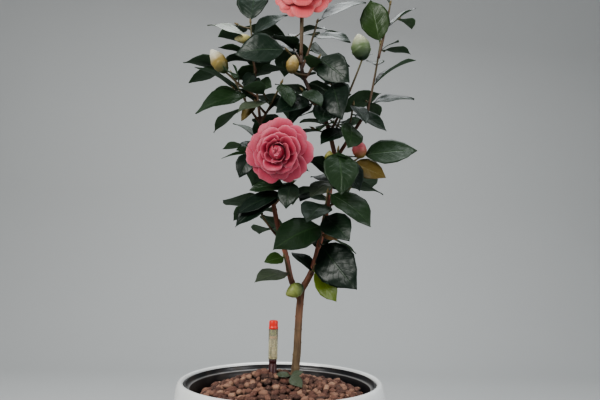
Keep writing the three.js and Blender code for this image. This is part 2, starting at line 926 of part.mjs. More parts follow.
const gaugePiece = (from, to, profile) =>
  turned([[0, from + CLEAR], ...profile, [0, to], [0, from + CLEAR]], 20).translate([GAUGE_X, GAUGE_Y, 0]);
const gaugeFoot = gaugePiece(GAUGE_FOOT, GAUGE_STEM_TOP, [
  [GAUGE_STEM, GAUGE_FOOT + CLEAR], [GAUGE_STEM, GAUGE_STEM_TOP],
]);
const gaugeTube = gaugePiece(GAUGE_STEM_TOP, GAUGE_CAP, [
  [GAUGE_RADIUS, GAUGE_STEM_TOP + CLEAR], [GAUGE_RADIUS, GAUGE_CAP],
]);
const gaugeCap = gaugePiece(GAUGE_CAP, GAUGE_TOP, [
  [GAUGE_RADIUS, GAUGE_CAP + CLEAR], [GAUGE_RADIUS, GAUGE_CAP + 3], [GAUGE_RADIUS - 0.4, GAUGE_CAP + 3.4],
  [GAUGE_RADIUS - 0.4, GAUGE_TOP - 1.5], [GAUGE_RADIUS - 1.8, GAUGE_TOP],
]);

// The plant put together

const plant = new THREE.Group();
plant.name = "camellia_in_pot";

function addPart(name, made, colour, roughness) {
  const { vertProperties, triVerts } = made.getMesh();
  const geometry = new THREE.BufferGeometry();
  geometry.setAttribute("position", new THREE.BufferAttribute(new Float32Array(vertProperties), 3));
  geometry.setIndex(new THREE.BufferAttribute(new Uint32Array(triVerts), 1));
  geometry.computeVertexNormals();
  const material = new THREE.MeshStandardMaterial({ color: colour, roughness, metalness: 0 });
  const mesh = new THREE.Mesh(geometry, material);
  mesh.name = name;
  plant.add(mesh);
}

addPart("pot", pot, 0xe9eaea, 0.22);
addPart("liner", liner, 0x1a1b1d, 0.5);
addPart("granules", granules, 0x6b4632, 0.95);
addPart("gauge_foot", gaugeFoot, 0x3a1815, 0.55);
addPart("gauge_tube", gaugeTube, 0xc9c3a8, 0.3);
addPart("gauge_cap", gaugeCap, 0xd6322c, 0.4);
for (const [name, made] of Object.entries(limbSolids)) {
  addPart(name, made, name === "trunk" ? 0x7a5136 : 0x7c3a28, 0.85);
}
for (const [name, made] of Object.entries(massSolids)) {
  addPart(name, made, 0x1d3a22, 0.4);
}
addPart("bloom_front", bloomSolids.bloom_front, 0xd8506a, 0.6);
addPart("bloom_top", bloomSolids.bloom_top, 0xe88a86, 0.6);

export default plant;
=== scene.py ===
import math

import bmesh
import bpy
import mathutils
import numpy as np
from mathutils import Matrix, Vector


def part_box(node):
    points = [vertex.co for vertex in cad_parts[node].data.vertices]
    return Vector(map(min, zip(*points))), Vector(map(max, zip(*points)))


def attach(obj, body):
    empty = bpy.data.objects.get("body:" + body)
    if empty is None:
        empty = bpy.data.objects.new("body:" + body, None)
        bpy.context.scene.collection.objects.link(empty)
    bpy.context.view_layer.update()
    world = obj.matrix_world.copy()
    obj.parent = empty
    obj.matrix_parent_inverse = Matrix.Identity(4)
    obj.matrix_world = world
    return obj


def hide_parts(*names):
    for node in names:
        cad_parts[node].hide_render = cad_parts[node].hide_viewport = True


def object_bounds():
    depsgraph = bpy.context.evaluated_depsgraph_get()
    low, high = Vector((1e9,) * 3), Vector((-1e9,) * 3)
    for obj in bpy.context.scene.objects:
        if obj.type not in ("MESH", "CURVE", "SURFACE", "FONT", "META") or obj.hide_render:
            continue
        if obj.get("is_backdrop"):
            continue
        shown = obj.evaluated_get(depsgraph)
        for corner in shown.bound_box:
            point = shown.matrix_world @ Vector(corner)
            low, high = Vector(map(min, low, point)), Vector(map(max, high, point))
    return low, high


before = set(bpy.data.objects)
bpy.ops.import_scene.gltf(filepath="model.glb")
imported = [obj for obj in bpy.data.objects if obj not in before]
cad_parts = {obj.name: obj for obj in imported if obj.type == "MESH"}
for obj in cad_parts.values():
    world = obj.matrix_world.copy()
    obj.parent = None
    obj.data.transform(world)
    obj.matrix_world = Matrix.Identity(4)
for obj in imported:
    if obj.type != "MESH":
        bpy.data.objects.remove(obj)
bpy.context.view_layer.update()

scene = bpy.context.scene

# Glossy pot
# A round plastic pot 28 cm across, moulded with a wall that swells up to a rolled lip, then coated in
# glossy white. The coat is scuffed where the foot stands. A ledge under the lip carries the liner.

MM = 0.001
POT_FOOT = 98
POT_WIDEST = 140
POT_WIDEST_AT = 236
POT_HEIGHT = 260
POT_CREST = 133.5
POT_WALL = 5
POT_FLOOR = 8
POT_COLUMNS = 144
LEDGE_HEIGHT = 247
LEDGE_RADIUS = 124.2
LEDGE_THICK = 5
WELD = 1e-6
TURN = 2 * math.pi


def carried_round(profile, columns):
    """Each profile point, a distance from the axis and a height, carried round the axis on a circle."""
    angle = np.linspace(0, TURN, columns, endpoint=False)
    radius, height = profile[:, :1], profile[:, 1:]
    return np.stack([radius * np.cos(angle), radius * np.sin(angle), height + 0 * angle], -1)


def ring_quads(rows, columns, copies=1):
    """Quads from each point of a closed ring to the next point and the next ring, for a number of equal
    skins, and where each corner lies: the share of the way round, and the share of the way along."""
    row, column = np.meshgrid(np.arange(rows - 1), np.arange(columns), indexing="ij")
    corner_row = np.stack([row, row, row + 1, row + 1], -1).reshape(-1, 4)
    corner_column = np.stack([column, column + 1, column + 1, column], -1).reshape(-1, 4)
    quads = corner_row * columns + corner_column % columns
    steps = (np.arange(copies) * rows * columns)[:, None, None]
    places = np.stack([corner_column / columns, corner_row / (rows - 1)], -1)
    return (quads + steps).reshape(-1, 4), np.tile(places, (copies, 1, 1))


def add_piece(name, points, quads, material, places=None, tones=()):
    """One smooth skin in millimetres. Points that fall together, at a pole or a tip, are made one."""
    mesh = bpy.data.meshes.new(name)
    mesh.from_pydata((np.reshape(points, (-1, 3)) * MM).tolist(), [], quads.tolist())
    if places is not None:
        mesh.uv_layers.new(name="skin").data.foreach_set("uv", places.ravel())
    for key, values in dict(tones).items():
        mesh.attributes.new(key, "FLOAT", "POINT").data.foreach_set("value", np.ravel(values))
    shape = bmesh.new()
    shape.from_mesh(mesh)
    bmesh.ops.remove_doubles(shape, verts=shape.verts, dist=WELD)
    shape.to_mesh(mesh)
    shape.free()
    mesh.shade_smooth()
    mesh.materials.append(material)
    piece = bpy.data.objects.new(name, mesh)
    scene.collection.objects.link(piece)
    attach(piece, "root")
    return piece


def add_node(material, kind, sockets=(), **settings):
    """A shader node. Each socket is given a value, or another node's output to follow."""
    made = material.node_tree.nodes.new(f"ShaderNode{kind}")
    for key, value in settings.items():
        setattr(made, key, value)
    for key, value in dict(sockets).items():
        if isinstance(value, bpy.types.NodeSocket):
            material.node_tree.links.new(value, made.inputs[key])
        else:
            made.inputs[key].default_value = value
    return made


def new_finish(name):
    """A finish with nothing on it yet, and the place in the frame that its patterns are laid out in."""
    material = bpy.data.materials.new(name)
    material.use_nodes = True
    return material, add_node(material, "TexCoord").outputs["Object"]


def height_in(material, place):
    """The height above the ground, in metres."""
    return add_node(material, "SeparateXYZ", {"Vector": place}).outputs["Z"]


def set_surface(material, sockets):
    """Gives the shader's own sockets their values, or the outputs that they follow."""
    shader = material.node_tree.nodes["Principled BSDF"]
    for key, value in sockets.items():
        if isinstance(value, bpy.types.NodeSocket):
            material.node_tree.links.new(value, shader.inputs[key])
        else:
            shader.inputs[key].default_value = value


def grain(material, place, scale, detail=3.0, stretch=(1, 1, 1)):
    """Cloudy grain from 0 to 1, finer with a larger scale, and stretched along an axis if asked."""
    laid = add_node(material, "Mapping", {"Vector": place, "Scale": stretch}).outputs["Vector"]
    return add_node(material, "TexNoise", {"Vector": laid, "Scale": scale, "Detail": detail}).outputs[0]


def spread(material, share, low, high, to_low=0.0, to_high=1.0):
    """Carries a range onto another, held at its ends."""
    sockets = {"Value": share, "From Min": low, "From Max": high, "To Min": to_low, "To Max": to_high}
    return add_node(material, "MapRange", sockets).outputs["Result"]


def reckon(material, operation, *terms):
    """One sum or product of values and outputs."""
    return add_node(material, "Math", dict(enumerate(terms)), operation=operation).outputs["Value"]


def blend_colours(material, share, first, second):
    """The first colour where the share is 0 and the second where it is 1."""
    opaque = [c if isinstance(c, bpy.types.NodeSocket) else (*c, 1) for c in (first, second)]
    sockets = {0: share, 6: opaque[0], 7: opaque[1]}
    return add_node(material, "Mix", sockets, data_type="RGBA").outputs[2]


def relief(material, height, strength, depth):
    """The small relief that a height makes in the surface; the depth is in metres."""
    sockets = {"Height": height, "Strength": strength, "Distance": depth}
    return add_node(material, "Bump", sockets).outputs["Normal"]


COAT_WHITE = (0.80, 0.82, 0.82)
COAT_THIN = (0.70, 0.71, 0.68)
COAT_SCUFFED = (0.55, 0.54, 0.51)
DUST = (0.42, 0.33, 0.25)

coat, place = new_finish("white_coat")
height = height_in(coat, place)
thin = spread(coat, grain(coat, place, 14), 0.35, 0.7)
speck = spread(coat, grain(coat, place, 260, 1.0), 0.72, 0.78)
colour = blend_colours(coat, thin, COAT_WHITE, COAT_THIN)
colour = blend_colours(coat, reckon(coat, "MULTIPLY", speck, 0.35), colour, DUST)
scuffed = spread(coat, height, 0.0024, 0.0034, 1.0, 0.0)
set_surface(coat, {
    "Base Color": blend_colours(coat, scuffed, colour, COAT_SCUFFED),
    "Roughness": reckon(coat, "ADD", spread(coat, grain(coat, place, 30), 0.3, 0.8, 0.10, 0.22),
                        reckon(coat, "MULTIPLY", scuffed, 0.6)),
    "IOR": 1.55,
    "Normal": relief(coat, grain(coat, place, 55, 2.0), 0.25, 0.0006),
})


def pot_wall(height):
    """Outer radius of the wall: it swells from the foot to the widest place as a raised sine."""
    return POT_FOOT + (POT_WIDEST - POT_FOOT) * np.sin(math.pi / 2 * height / POT_WIDEST_AT) ** 0.9


quarter = np.linspace(0, math.pi / 2, 9)[1:]
foot = np.array([[0, 0], [40, 0], [POT_FOOT - 4, 0], [POT_FOOT - 2.6, 0.1], [POT_FOOT - 1.1, 0.9],
                 [POT_FOOT - 0.3, 2.2]])
wall_heights = np.linspace(3.4, POT_WIDEST_AT, 44)
wall = np.stack([pot_wall(wall_heights), wall_heights], -1)
outer_roll = np.stack([
    POT_CREST + (POT_WIDEST - POT_CREST) * np.cos(quarter) ** 0.85,
    POT_WIDEST_AT + (POT_HEIGHT - POT_WIDEST_AT) * np.sin(quarter),
], -1)
inner_roll = np.stack([POT_CREST - 4.2 * np.sin(quarter), POT_HEIGHT - 4.6 + 4.6 * np.cos(quarter)], -1)
ledge = np.array([[128.9, LEDGE_HEIGHT + 2], [128.6, LEDGE_HEIGHT + 0.6], [127.9, LEDGE_HEIGHT],
                  [LEDGE_RADIUS + 0.7, LEDGE_HEIGHT], [LEDGE_RADIUS, LEDGE_HEIGHT - 0.4],
                  [LEDGE_RADIUS, LEDGE_HEIGHT - LEDGE_THICK]])
inner_heights = np.linspace(228, POT_FLOOR + 2, 16)
inner_wall = np.stack([pot_wall(inner_heights) - POT_WALL, inner_heights], -1)
floor = np.array([[POT_FOOT - POT_WALL - 3, POT_FLOOR], [40, POT_FLOOR], [0, POT_FLOOR]])
pot_profile = np.concatenate([foot, wall, outer_roll, inner_roll, ledge, inner_wall, floor])
quads, _ = ring_quads(len(pot_profile), POT_COLUMNS)
pot = add_piece("pot_glazed", carried_round(pot_profile, POT_COLUMNS), quads, coat)
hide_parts("pot")

# Liner
# A black plastic cup that hangs on the ledge inside the pot, with an upright edge that lines the pot's
# lip and a step below it, along which a pale band is a painted highlight. It is moulded in one piece,
# half matt, and dusty from the granules.

LINER_RIM = 128.3
LINER_TOP = 257
LINER_STEP = 251
LINER_WALL = 3
LINER_FLOOR = 70
LINER_FOOT = 94
CLEAR = 0.3
BLACK = (0.012, 0.012, 0.014)
GREY_DUST = (0.16, 0.12, 0.09)
# Painted highlight: the pale grey of the band along the liner's step.
STEP_HIGHLIGHT_GREY = (0.42, 0.41, 0.40)


def liner_wall(height):
    """Outer radius of the cup: it widens evenly from the floor to the ledge."""
    rise = (height - LINER_FLOOR) / (LEDGE_HEIGHT - LINER_FLOOR)
    return LINER_FOOT + (LEDGE_RADIUS - 2 * CLEAR - LINER_FOOT) * rise


def carried(material, name):
    """What the mesh's points carry under a name."""
    return add_node(material, "Attribute", attribute_name=name).outputs["Fac"]


bead = np.linspace(0.45 * math.pi, 1.1 * math.pi, 7)
brim = np.linspace(-0.05 * math.pi, 1.05 * math.pi, 9)
liner_profile = np.concatenate([
    [[0, LINER_FLOOR], [LINER_FOOT - 1, LINER_FLOOR], [LINER_FOOT, LINER_FLOOR + 1]],
    [[liner_wall(h), h] for h in (120, 180, 230, 245, LEDGE_HEIGHT + CLEAR)],
    [[LINER_RIM - 1.9, LEDGE_HEIGHT + CLEAR], [LINER_RIM - 0.2, LEDGE_HEIGHT + CLEAR]],
    [[LINER_RIM, LEDGE_HEIGHT + 0.6]],
    np.stack([LINER_RIM - 0.9 + 0.9 * np.cos(brim), LINER_TOP - 0.9 + 0.9 * np.sin(brim)], -1),
    [[LINER_RIM - 2.1, LINER_STEP + 1.0], [LINER_RIM - 2.9, LINER_STEP + 0.2]],
    np.stack([122.6 + 1.5 * np.cos(bead), LINER_STEP - 1.4 + 1.5 * np.sin(bead)], -1),
    [[liner_wall(h) - LINER_WALL, h] for h in (246, 238, 200, 140, LINER_FLOOR + 4)],
    [[LINER_FOOT - LINER_WALL - 1, LINER_FLOOR + 3], [0, LINER_FLOOR + 3]],
])

liner_plastic, place = new_finish("liner_plastic")
dusty = spread(liner_plastic, grain(liner_plastic, place, 35, 6.0), 0.5, 0.78, 0.0, 0.35)
# Along the step the black turns half way to pale grey: a painted highlight.
step_highlight = reckon(liner_plastic, "MULTIPLY", carried(liner_plastic, "step_highlight"), 0.5)
colour = blend_colours(liner_plastic, dusty, BLACK, GREY_DUST)
set_surface(liner_plastic, {
    "Base Color": blend_colours(liner_plastic, step_highlight, colour, STEP_HIGHLIGHT_GREY),
    "Roughness": spread(liner_plastic, dusty, 0.0, 0.35, 0.30, 0.65),
    "Normal": relief(liner_plastic, grain(liner_plastic, place, 900, 2.0), 0.12, 0.0003),
})
quads, _ = ring_quads(len(liner_profile), POT_COLUMNS)
# A narrow band round the step, on its inner side only, where the painted highlight lies.
off_step = (liner_profile[:, 1] - LINER_STEP + 0.5) / 0.9
lightened = np.exp(-off_step ** 2) * (liner_profile[:, 0] < LINER_RIM - 3)
liner = add_piece("liner_cup", carried_round(liner_profile, POT_COLUMNS), quads, liner_plastic,
                  tones={"step_highlight": np.repeat(lightened, POT_COLUMNS)})
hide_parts("liner")

# Clay granules
# Knobbly nuggets of fired clay, 9 to 15 mm long, that hold the roots. They are heaped by hand, low along
# the liner's wall and highest beside the gauge, and each has its own colour from tan to dark red brown.

GROUND = 247.7
GROUND_FALL = 14
GROUND_TILT = 5
GROUND_TILT_BEARING = 46
MOUND = {"x": -22, "y": 6, "rise": 14.5, "spread": 43}
GROUND_EDGE = 226
PILE = {"x": -15, "y": -10, "rise": 8.0, "spread": 22}
TRUNK_HOLE = {"x": 18.5, "radius": 11}
GAUGE_HOLE = {"x": -11, "radius": 9.5}
NUGGET_SPACING = 9.2
NUGGET_STRAY = 1.7
NUGGET_EDGE = 7
LAYERS = (-2.5, 1.0)
LAYER_STRAY = 0.9
SMALL_NUGGET = (4.6, 3.8, 3.2)
LARGE_NUGGET = (7.6, 5.3, 4.4)
MEAN_NUGGET = 4.2
NUGGET_ROWS = 9
NUGGET_COLUMNS = 12
BED_DROP = 6
BED_ROWS = 22
BED_COLUMNS = 96
BED_TONE = 0.1
# The bed's share of painted light is low, so it is mostly painted shade.
BED_LIT_SHARE = 0.35


def bell(mound, x, y):
    """Height of a mound: it falls off from its middle as a bell curve of the distance over its spread."""
    away = np.hypot(x - mound["x"], y - mound["y"]) / mound["spread"]
    return mound["rise"] * np.exp(-away * away / 2)


def ground_at(x, y):
    """Height of the heap: it falls with the square of the distance from the middle, tilts a little, and
    carries a bell-shaped mound."""
    share = np.hypot(x, y) / (liner_wall(GROUND) - LINER_WALL)
    tilt = share * np.cos(np.arctan2(y, x) - math.radians(GROUND_TILT_BEARING))
    return GROUND - GROUND_FALL * share * share + GROUND_TILT * tilt + bell(MOUND, x, y)


def bed_points():
    """The heap's own body under the nuggets: its top follows the heap, dropped a little, and its side
    follows the liner down to the liner's floor."""
    share = np.linspace(0, 1, BED_ROWS)[:, None]
    angle = np.linspace(0, TURN, BED_COLUMNS, endpoint=False)
    reach = share * (liner_wall(GROUND_EDGE) - LINER_WALL - 1)
    x, y = reach * np.cos(angle), reach * np.sin(angle)
    lumps = 1.6 * np.sin(0.31 * x + 1.3) * np.sin(0.29 * y + 0.4)
    top = np.stack([x, y, ground_at(x, y) - BED_DROP + lumps], -1)
    low = LINER_FLOOR + LINER_WALL + CLEAR
    foot = (LINER_FOOT - LINER_WALL - 1) * np.array([1.0, 0.0])[:, None]
    under = np.stack([foot * np.cos(angle), foot * np.sin(angle), low + 0 * foot * angle], -1)
    return np.concatenate([top, under])[::-1]


def nugget_points(centres, sizes, spins, draw):
    """Balls drawn out along their three sizes, dented by three slow waves and wrinkled by two quick ones,
    then spun about each axis."""
    fall = np.linspace(0, math.pi, NUGGET_ROWS)[:, None]
    angle = np.linspace(0, TURN, NUGGET_COLUMNS, endpoint=False)
    ball = np.stack([np.sin(fall) * np.cos(angle), np.sin(fall) * np.sin(angle),
                     -np.cos(fall) + 0 * angle], -1)
    waves = draw.normal(0, 1.7, (len(centres), 3, 3))
    phases = draw.uniform(0, TURN, (len(centres), 3, 1, 1))
    swell = np.sin(np.einsum("nwk,rck->nwrc", waves, ball) + phases).sum(1)
    creases = np.sin(np.einsum("nwk,rck->nwrc", 3.2 * waves[:, :2], ball) + 2 * phases[:, :2]).sum(1)
    points = ball * (1 + 0.10 * swell[..., None] + 0.045 * creases[..., None]) * sizes[:, None, None, :]
    cos, sin = np.cos(spins), np.sin(spins)
    for first, second, k in ((0, 1, 0), (1, 2, 1), (0, 2, 2)):
        a, b = points[..., first].copy(), points[..., second].copy()
        c, s = cos[:, k, None, None], sin[:, k, None, None]
        points[..., first], points[..., second] = c * a - s * b, s * a + c * b
    return points + centres[:, None, None, :]


TAN = (0.41, 0.245, 0.165)
RED_BROWN = (0.17, 0.074, 0.052)
DARK_BROWN = (0.055, 0.027, 0.022)
CHIPPED = (0.40, 0.27, 0.20)
# The near black that each nugget fades to on its underside is painted shade.
UNDERSIDE_SHADE = (0.022, 0.013, 0.011)

clay, place = new_finish("fired_clay")
tone = carried(clay, "tone")
fleck = grain(clay, place, 420, 4.0)
colour = blend_colours(clay, spread(clay, tone, 0.0, 0.6), DARK_BROWN, RED_BROWN)
colour = blend_colours(clay, spread(clay, tone, 0.5, 1.0), colour, TAN)
colour = blend_colours(clay, spread(clay, fleck, 0.5, 0.8, 0.0, 0.5), colour, CHIPPED)
# Painted shade: each nugget darkens toward its underside and keeps its own colour on top.
colour = blend_colours(clay, spread(clay, carried(clay, "lit_share"), 0.30, 0.72), UNDERSIDE_SHADE, colour)
set_surface(clay, {
    "Base Color": colour,
    "Roughness": spread(clay, fleck, 0.3, 0.7, 0.72, 0.95),
    "Normal": relief(clay, grain(clay, place, 620, 6.0), 1.0, 0.0016),
})

draw = np.random.default_rng(11)
reach = liner_wall(GROUND_EDGE) - LINER_WALL - NUGGET_EDGE
lanes = np.arange(-reach, reach, NUGGET_SPACING)
x, y = (a.ravel() for a in np.meshgrid(lanes, lanes))
x, y = (np.concatenate([a, a + NUGGET_SPACING / 2]) for a in (x, y))
x, y = (a + draw.normal(0, NUGGET_STRAY, len(a)) for a in (x, y))
lift = np.repeat(LAYERS, len(x) // 2) + draw.normal(0, LAYER_STRAY, len(x)) + bell(PILE, x, y)
kept = np.hypot(x, y) < reach
for hole in (TRUNK_HOLE, GAUGE_HOLE):
    kept &= np.hypot(x - hole["x"], y) > hole["radius"]
centres = np.stack([x, y, ground_at(x, y) + lift], -1)[kept]
sizes = draw.uniform(SMALL_NUGGET, LARGE_NUGGET, (len(centres), 3))
spins = draw.uniform(0, 1, (len(centres), 3)) * [TURN, 0.5, 0.5]
quads, _ = ring_quads(NUGGET_ROWS, NUGGET_COLUMNS, len(centres))
tones = np.repeat(draw.beta(1.8, 1.9, len(centres)), NUGGET_ROWS * NUGGET_COLUMNS)
skins = nugget_points(centres, sizes, spins, draw)
# How far up each nugget a point lies, from its painted shaded underside to its lit top.
above = np.clip(0.5 + (skins[..., 2] - centres[:, None, None, 2]) / (2 * MEAN_NUGGET), 0, 1)
nuggets = add_piece("granules_top", skins, quads, clay, tones={"tone": tones, "lit_share": above})
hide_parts("granules")

# The bed between the nuggets has the darkest clay and mostly painted shade, so the gaps look shaded.
quads, _ = ring_quads(BED_ROWS + 2, BED_COLUMNS)
whole_bed = np.ones((BED_ROWS + 2) * BED_COLUMNS)
add_piece("granules_bed", bed_points(), quads, clay,
          tones={"tone": BED_TONE * whole_bed, "lit_share": BED_LIT_SHARE * whole_bed})

# Water gauge
# A pale milky plastic tube that shows how much water stands in the liner. A float rises in it above a
# scale card, its thinner dark stem stands in the granules, and a red cap with a flange closes its top.

GAUGE_RADIUS = 6.4
GAUGE_STEM = 5.3
GAUGE_FOOT = 226
GAUGE_STEM_TOP = 286
GAUGE_CAP = 326
GAUGE_TOP = 338
GAUGE_COLUMNS = 32
CARD_RADIUS = 4.9
MARK_STEP = 0.004
MARK_SHARE = 0.22
RING_DROP = 11


def gauge_part(name, profile, material, slot, *nodes):
    """A turned part standing on the gauge's own axis."""
    profile = np.array(profile, float)
    quads, _ = ring_quads(len(profile), GAUGE_COLUMNS)
    points = carried_round(profile, GAUGE_COLUMNS) + [GAUGE_HOLE["x"], 0, 0]
    part = add_piece(name, points, quads, material)
    if nodes:
        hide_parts(*nodes)


def moulded(name, colour, lightened, roughness):
    """Moulded plastic: one colour, rubbed paler in patches, with a fine skin."""
    material, place = new_finish(name)
    rub = spread(material, grain(material, place, 180, 5.0), 0.5, 0.75, 0.0, 0.5)
    set_surface(material, {
        "Base Color": blend_colours(material, rub, colour, lightened),
        "Roughness": spread(material, rub, 0.0, 0.5, roughness, roughness + 0.2),
        "Normal": relief(material, grain(material, place, 700, 2.0), 0.2, 0.0002),
    })
    return material


stem_plastic = moulded("stem_plastic", (0.045, 0.006, 0.008), (0.065, 0.018, 0.018), 0.45)
cap_plastic = moulded("cap_plastic", (0.72, 0.035, 0.022), (0.80, 0.16, 0.11), 0.32)
float_plastic = moulded("float_plastic", (0.16, 0.20, 0.07), (0.30, 0.33, 0.15), 0.45)
ring_plastic = moulded("ring_plastic", (0.62, 0.36, 0.22), (0.72, 0.55, 0.40), 0.40)
card, place = new_finish("scale_card")
height = height_in(card, place)
marks = reckon(card, "FRACT", reckon(card, "MULTIPLY", height, 1 / MARK_STEP))
marks = reckon(card, "LESS_THAN", marks, MARK_SHARE)
marks = reckon(card, "MULTIPLY", marks, spread(card, grain(card, place, 500, 2.0), 0.42, 0.58))
stained = spread(card, grain(card, place, 160), 0.4, 0.6)
olive = blend_colours(card, stained, (0.22, 0.21, 0.15), (0.42, 0.38, 0.30))
set_surface(card, {
    "Base Color": blend_colours(card, marks, olive, (0.20, 0.16, 0.09)),
    "Roughness": spread(card, grain(card, place, 300), 0.3, 0.7, 0.45, 0.7),
})
milky, place = new_finish("milky_tube")
set_surface(milky, {
    "Base Color": blend_colours(milky, grain(milky, place, 120), (0.95, 0.92, 0.76), (0.90, 0.86, 0.66)),
    "Roughness": spread(milky, grain(milky, place, 60, 4.0), 0.4, 0.7, 0.14, 0.30),
    "Transmission Weight": 0.84,
    "IOR": 1.08,
})

gauge_part("gauge_stem", [
    [0, GAUGE_FOOT + 0.3], [GAUGE_STEM - 0.5, GAUGE_FOOT + 0.3], [GAUGE_STEM, GAUGE_FOOT + 0.8],
    [GAUGE_STEM, GAUGE_STEM_TOP - 6.2], [GAUGE_STEM - 0.4, GAUGE_STEM_TOP - 5.8],
    [GAUGE_STEM - 0.4, GAUGE_STEM_TOP - 5.0], [GAUGE_STEM, GAUGE_STEM_TOP - 4.6],
    [GAUGE_STEM, GAUGE_STEM_TOP - 0.5], [GAUGE_STEM - 0.4, GAUGE_STEM_TOP], [0, GAUGE_STEM_TOP],
], stem_plastic, "gauge_collar", "gauge_foot")
tube_low, tube_high = GAUGE_STEM_TOP + 0.3, GAUGE_CAP - 0.1
ring_at = tube_high - RING_DROP
gauge_part("gauge_milky_tube", [
    [GAUGE_RADIUS - 0.9, tube_low], [GAUGE_RADIUS - 0.3, tube_low], [GAUGE_RADIUS, tube_low + 0.4],
    [GAUGE_RADIUS, tube_high], [GAUGE_RADIUS - 0.9, tube_high], [GAUGE_RADIUS - 0.9, tube_low],
], milky, "gauge_clear", "gauge_tube")
gauge_part("gauge_scale", [
    [0, tube_low + 0.2], [CARD_RADIUS - 0.3, tube_low + 0.2], [CARD_RADIUS, tube_low + 0.6],
    [CARD_RADIUS, ring_at - 1.4], [0, ring_at - 1.4],
], card, "gauge_clear")
gauge_part("gauge_ring", [
    [0, ring_at - 1.3], [5.2, ring_at - 1.3], [5.4, ring_at - 0.9], [5.4, ring_at + 0.9],
    [5.2, ring_at + 1.3], [0, ring_at + 1.3],
], ring_plastic, "gauge_clear")
gauge_part("gauge_float", [
    [0, ring_at + 1.4], [3.6, ring_at + 1.4], [4.0, ring_at + 1.9], [4.0, tube_high - 1.2],
    [3.4, tube_high - 0.5], [0, tube_high - 0.5],
], float_plastic, "gauge_clear")
gauge_part("gauge_red_cap", [
    [0, GAUGE_CAP + 0.3], [GAUGE_RADIUS - 0.3, GAUGE_CAP + 0.3], [GAUGE_RADIUS + 0.1, GAUGE_CAP + 0.7],
    [GAUGE_RADIUS + 0.1, GAUGE_CAP + 2.9], [GAUGE_RADIUS - 0.5, GAUGE_CAP + 3.5],
    [GAUGE_RADIUS - 0.4, GAUGE_CAP + 5.0], [GAUGE_RADIUS - 0.4, GAUGE_TOP - 2.2],
    [GAUGE_RADIUS - 0.8, GAUGE_TOP - 1.0], [GAUGE_RADIUS - 1.8, GAUGE_TOP - 0.2],
    [GAUGE_RADIUS - 3.0, GAUGE_TOP], [0, GAUGE_TOP],
], cap_plastic, "gauge_cap", "gauge_cap")

# Trunk and boughs
# One slender stem that forks above the pot: grey brown and ridged at its foot, smooth and red brown on the
# younger wood above it, and dark in the crown. Each bough tapers to its tip, ringed where leaves dropped.

LIMBS = {
    "trunk": (5.4, 4.8, [(18.5, 0, 250), (21.8, 0, 300), (24.2, 2, 350), (27, 3, 384)]),
    "leader_right": (4.6, 3.4, [(27, 3, 380), (40, 5, 404), (50, 6, 440), (63, 8, 506), (71, 7, 576)]),
    "leader_left": (4.2, 2.6, [(24, 2, 368), (12, -1, 394), (5, -3, 425), (-8, -3, 469), (-16, -2, 505),
                               (-31, 2, 577), (-37, 4, 626)]),
    "leader_top": (3.2, 2.4, [(71, 7, 576), (60, 4, 616), (42, 0, 651), (24, -2, 688), (21, -3, 722)]),
    "bough_upper_right": (2.8, 2.1, [(71, 7, 562), (88, 7, 590), (106, 6, 618), (118, 5, 638)]),
}
TRUNK_FLARE = 2.4
FLARE_FALL = 14
SMOOTH_ABOVE = 420
SMOOTH_FALL = 120
RING_EVERY = 17
RING_WIDTH = 0.055
LIMB_ROWS = 90
LIMB_COLUMNS = 16
ACROSS = np.array([1, 0.15, 0])


def smooth_path(knots, t):
    """Places at shares t of a centripetal Catmull-Rom curve: between each two knots a cubic whose end
    slopes come from the knots around them, spaced by the square root of their distance."""
    knots = np.asarray(knots, float)
    padded = np.concatenate([[2 * knots[0] - knots[1]], knots, [2 * knots[-1] - knots[-2]]])
    gap = np.maximum(np.linalg.norm(np.diff(padded, axis=0), axis=1), 1e-8) ** 0.5
    reach = np.asarray(t, float) * (len(knots) - 1)
    part = np.minimum(reach.astype(int), len(knots) - 2)
    s = (reach - part)[:, None]
    a, b, c, d = (padded[part + k] for k in range(4))
    before, span, after = (gap[part + k][:, None] for k in range(3))
    slope_b = span * ((b - a) / before - (c - a) / (before + span) + (c - b) / span)
    slope_c = span * ((c - b) / span - (d - b) / (span + after) + (d - c) / after)
    bend = -3 * b + 3 * c - 2 * slope_b - slope_c
    return b + slope_b * s + bend * s * s + (2 * b - 2 * c + slope_b + slope_c) * s ** 3


def unit(vectors):
    """Each vector at length one."""
    return vectors / np.linalg.norm(vectors, axis=-1, keepdims=True)


def tube_points(path, radius, columns, across=ACROSS):
    """A round skin along a path: at each place a circle square to the path, of the radius given for
    each place, or for each place and each share of the way round. Its ends close to a point."""
    along = unit(np.gradient(path, axis=0))
    side = unit(across - (along @ across)[:, None] * along)
    front = np.cross(along, side)
    angle = np.linspace(0, TURN, columns, endpoint=False)[:, None]
    circle = side[:, None] * np.cos(angle) + front[:, None] * np.sin(angle)
    skin = path[:, None] + circle * np.reshape(radius, (len(path), -1, 1))
    ends = [np.repeat(path[k][None, None], columns, 1) for k in (0, -1)]
    return np.concatenate([ends[0], skin, ends[1]])


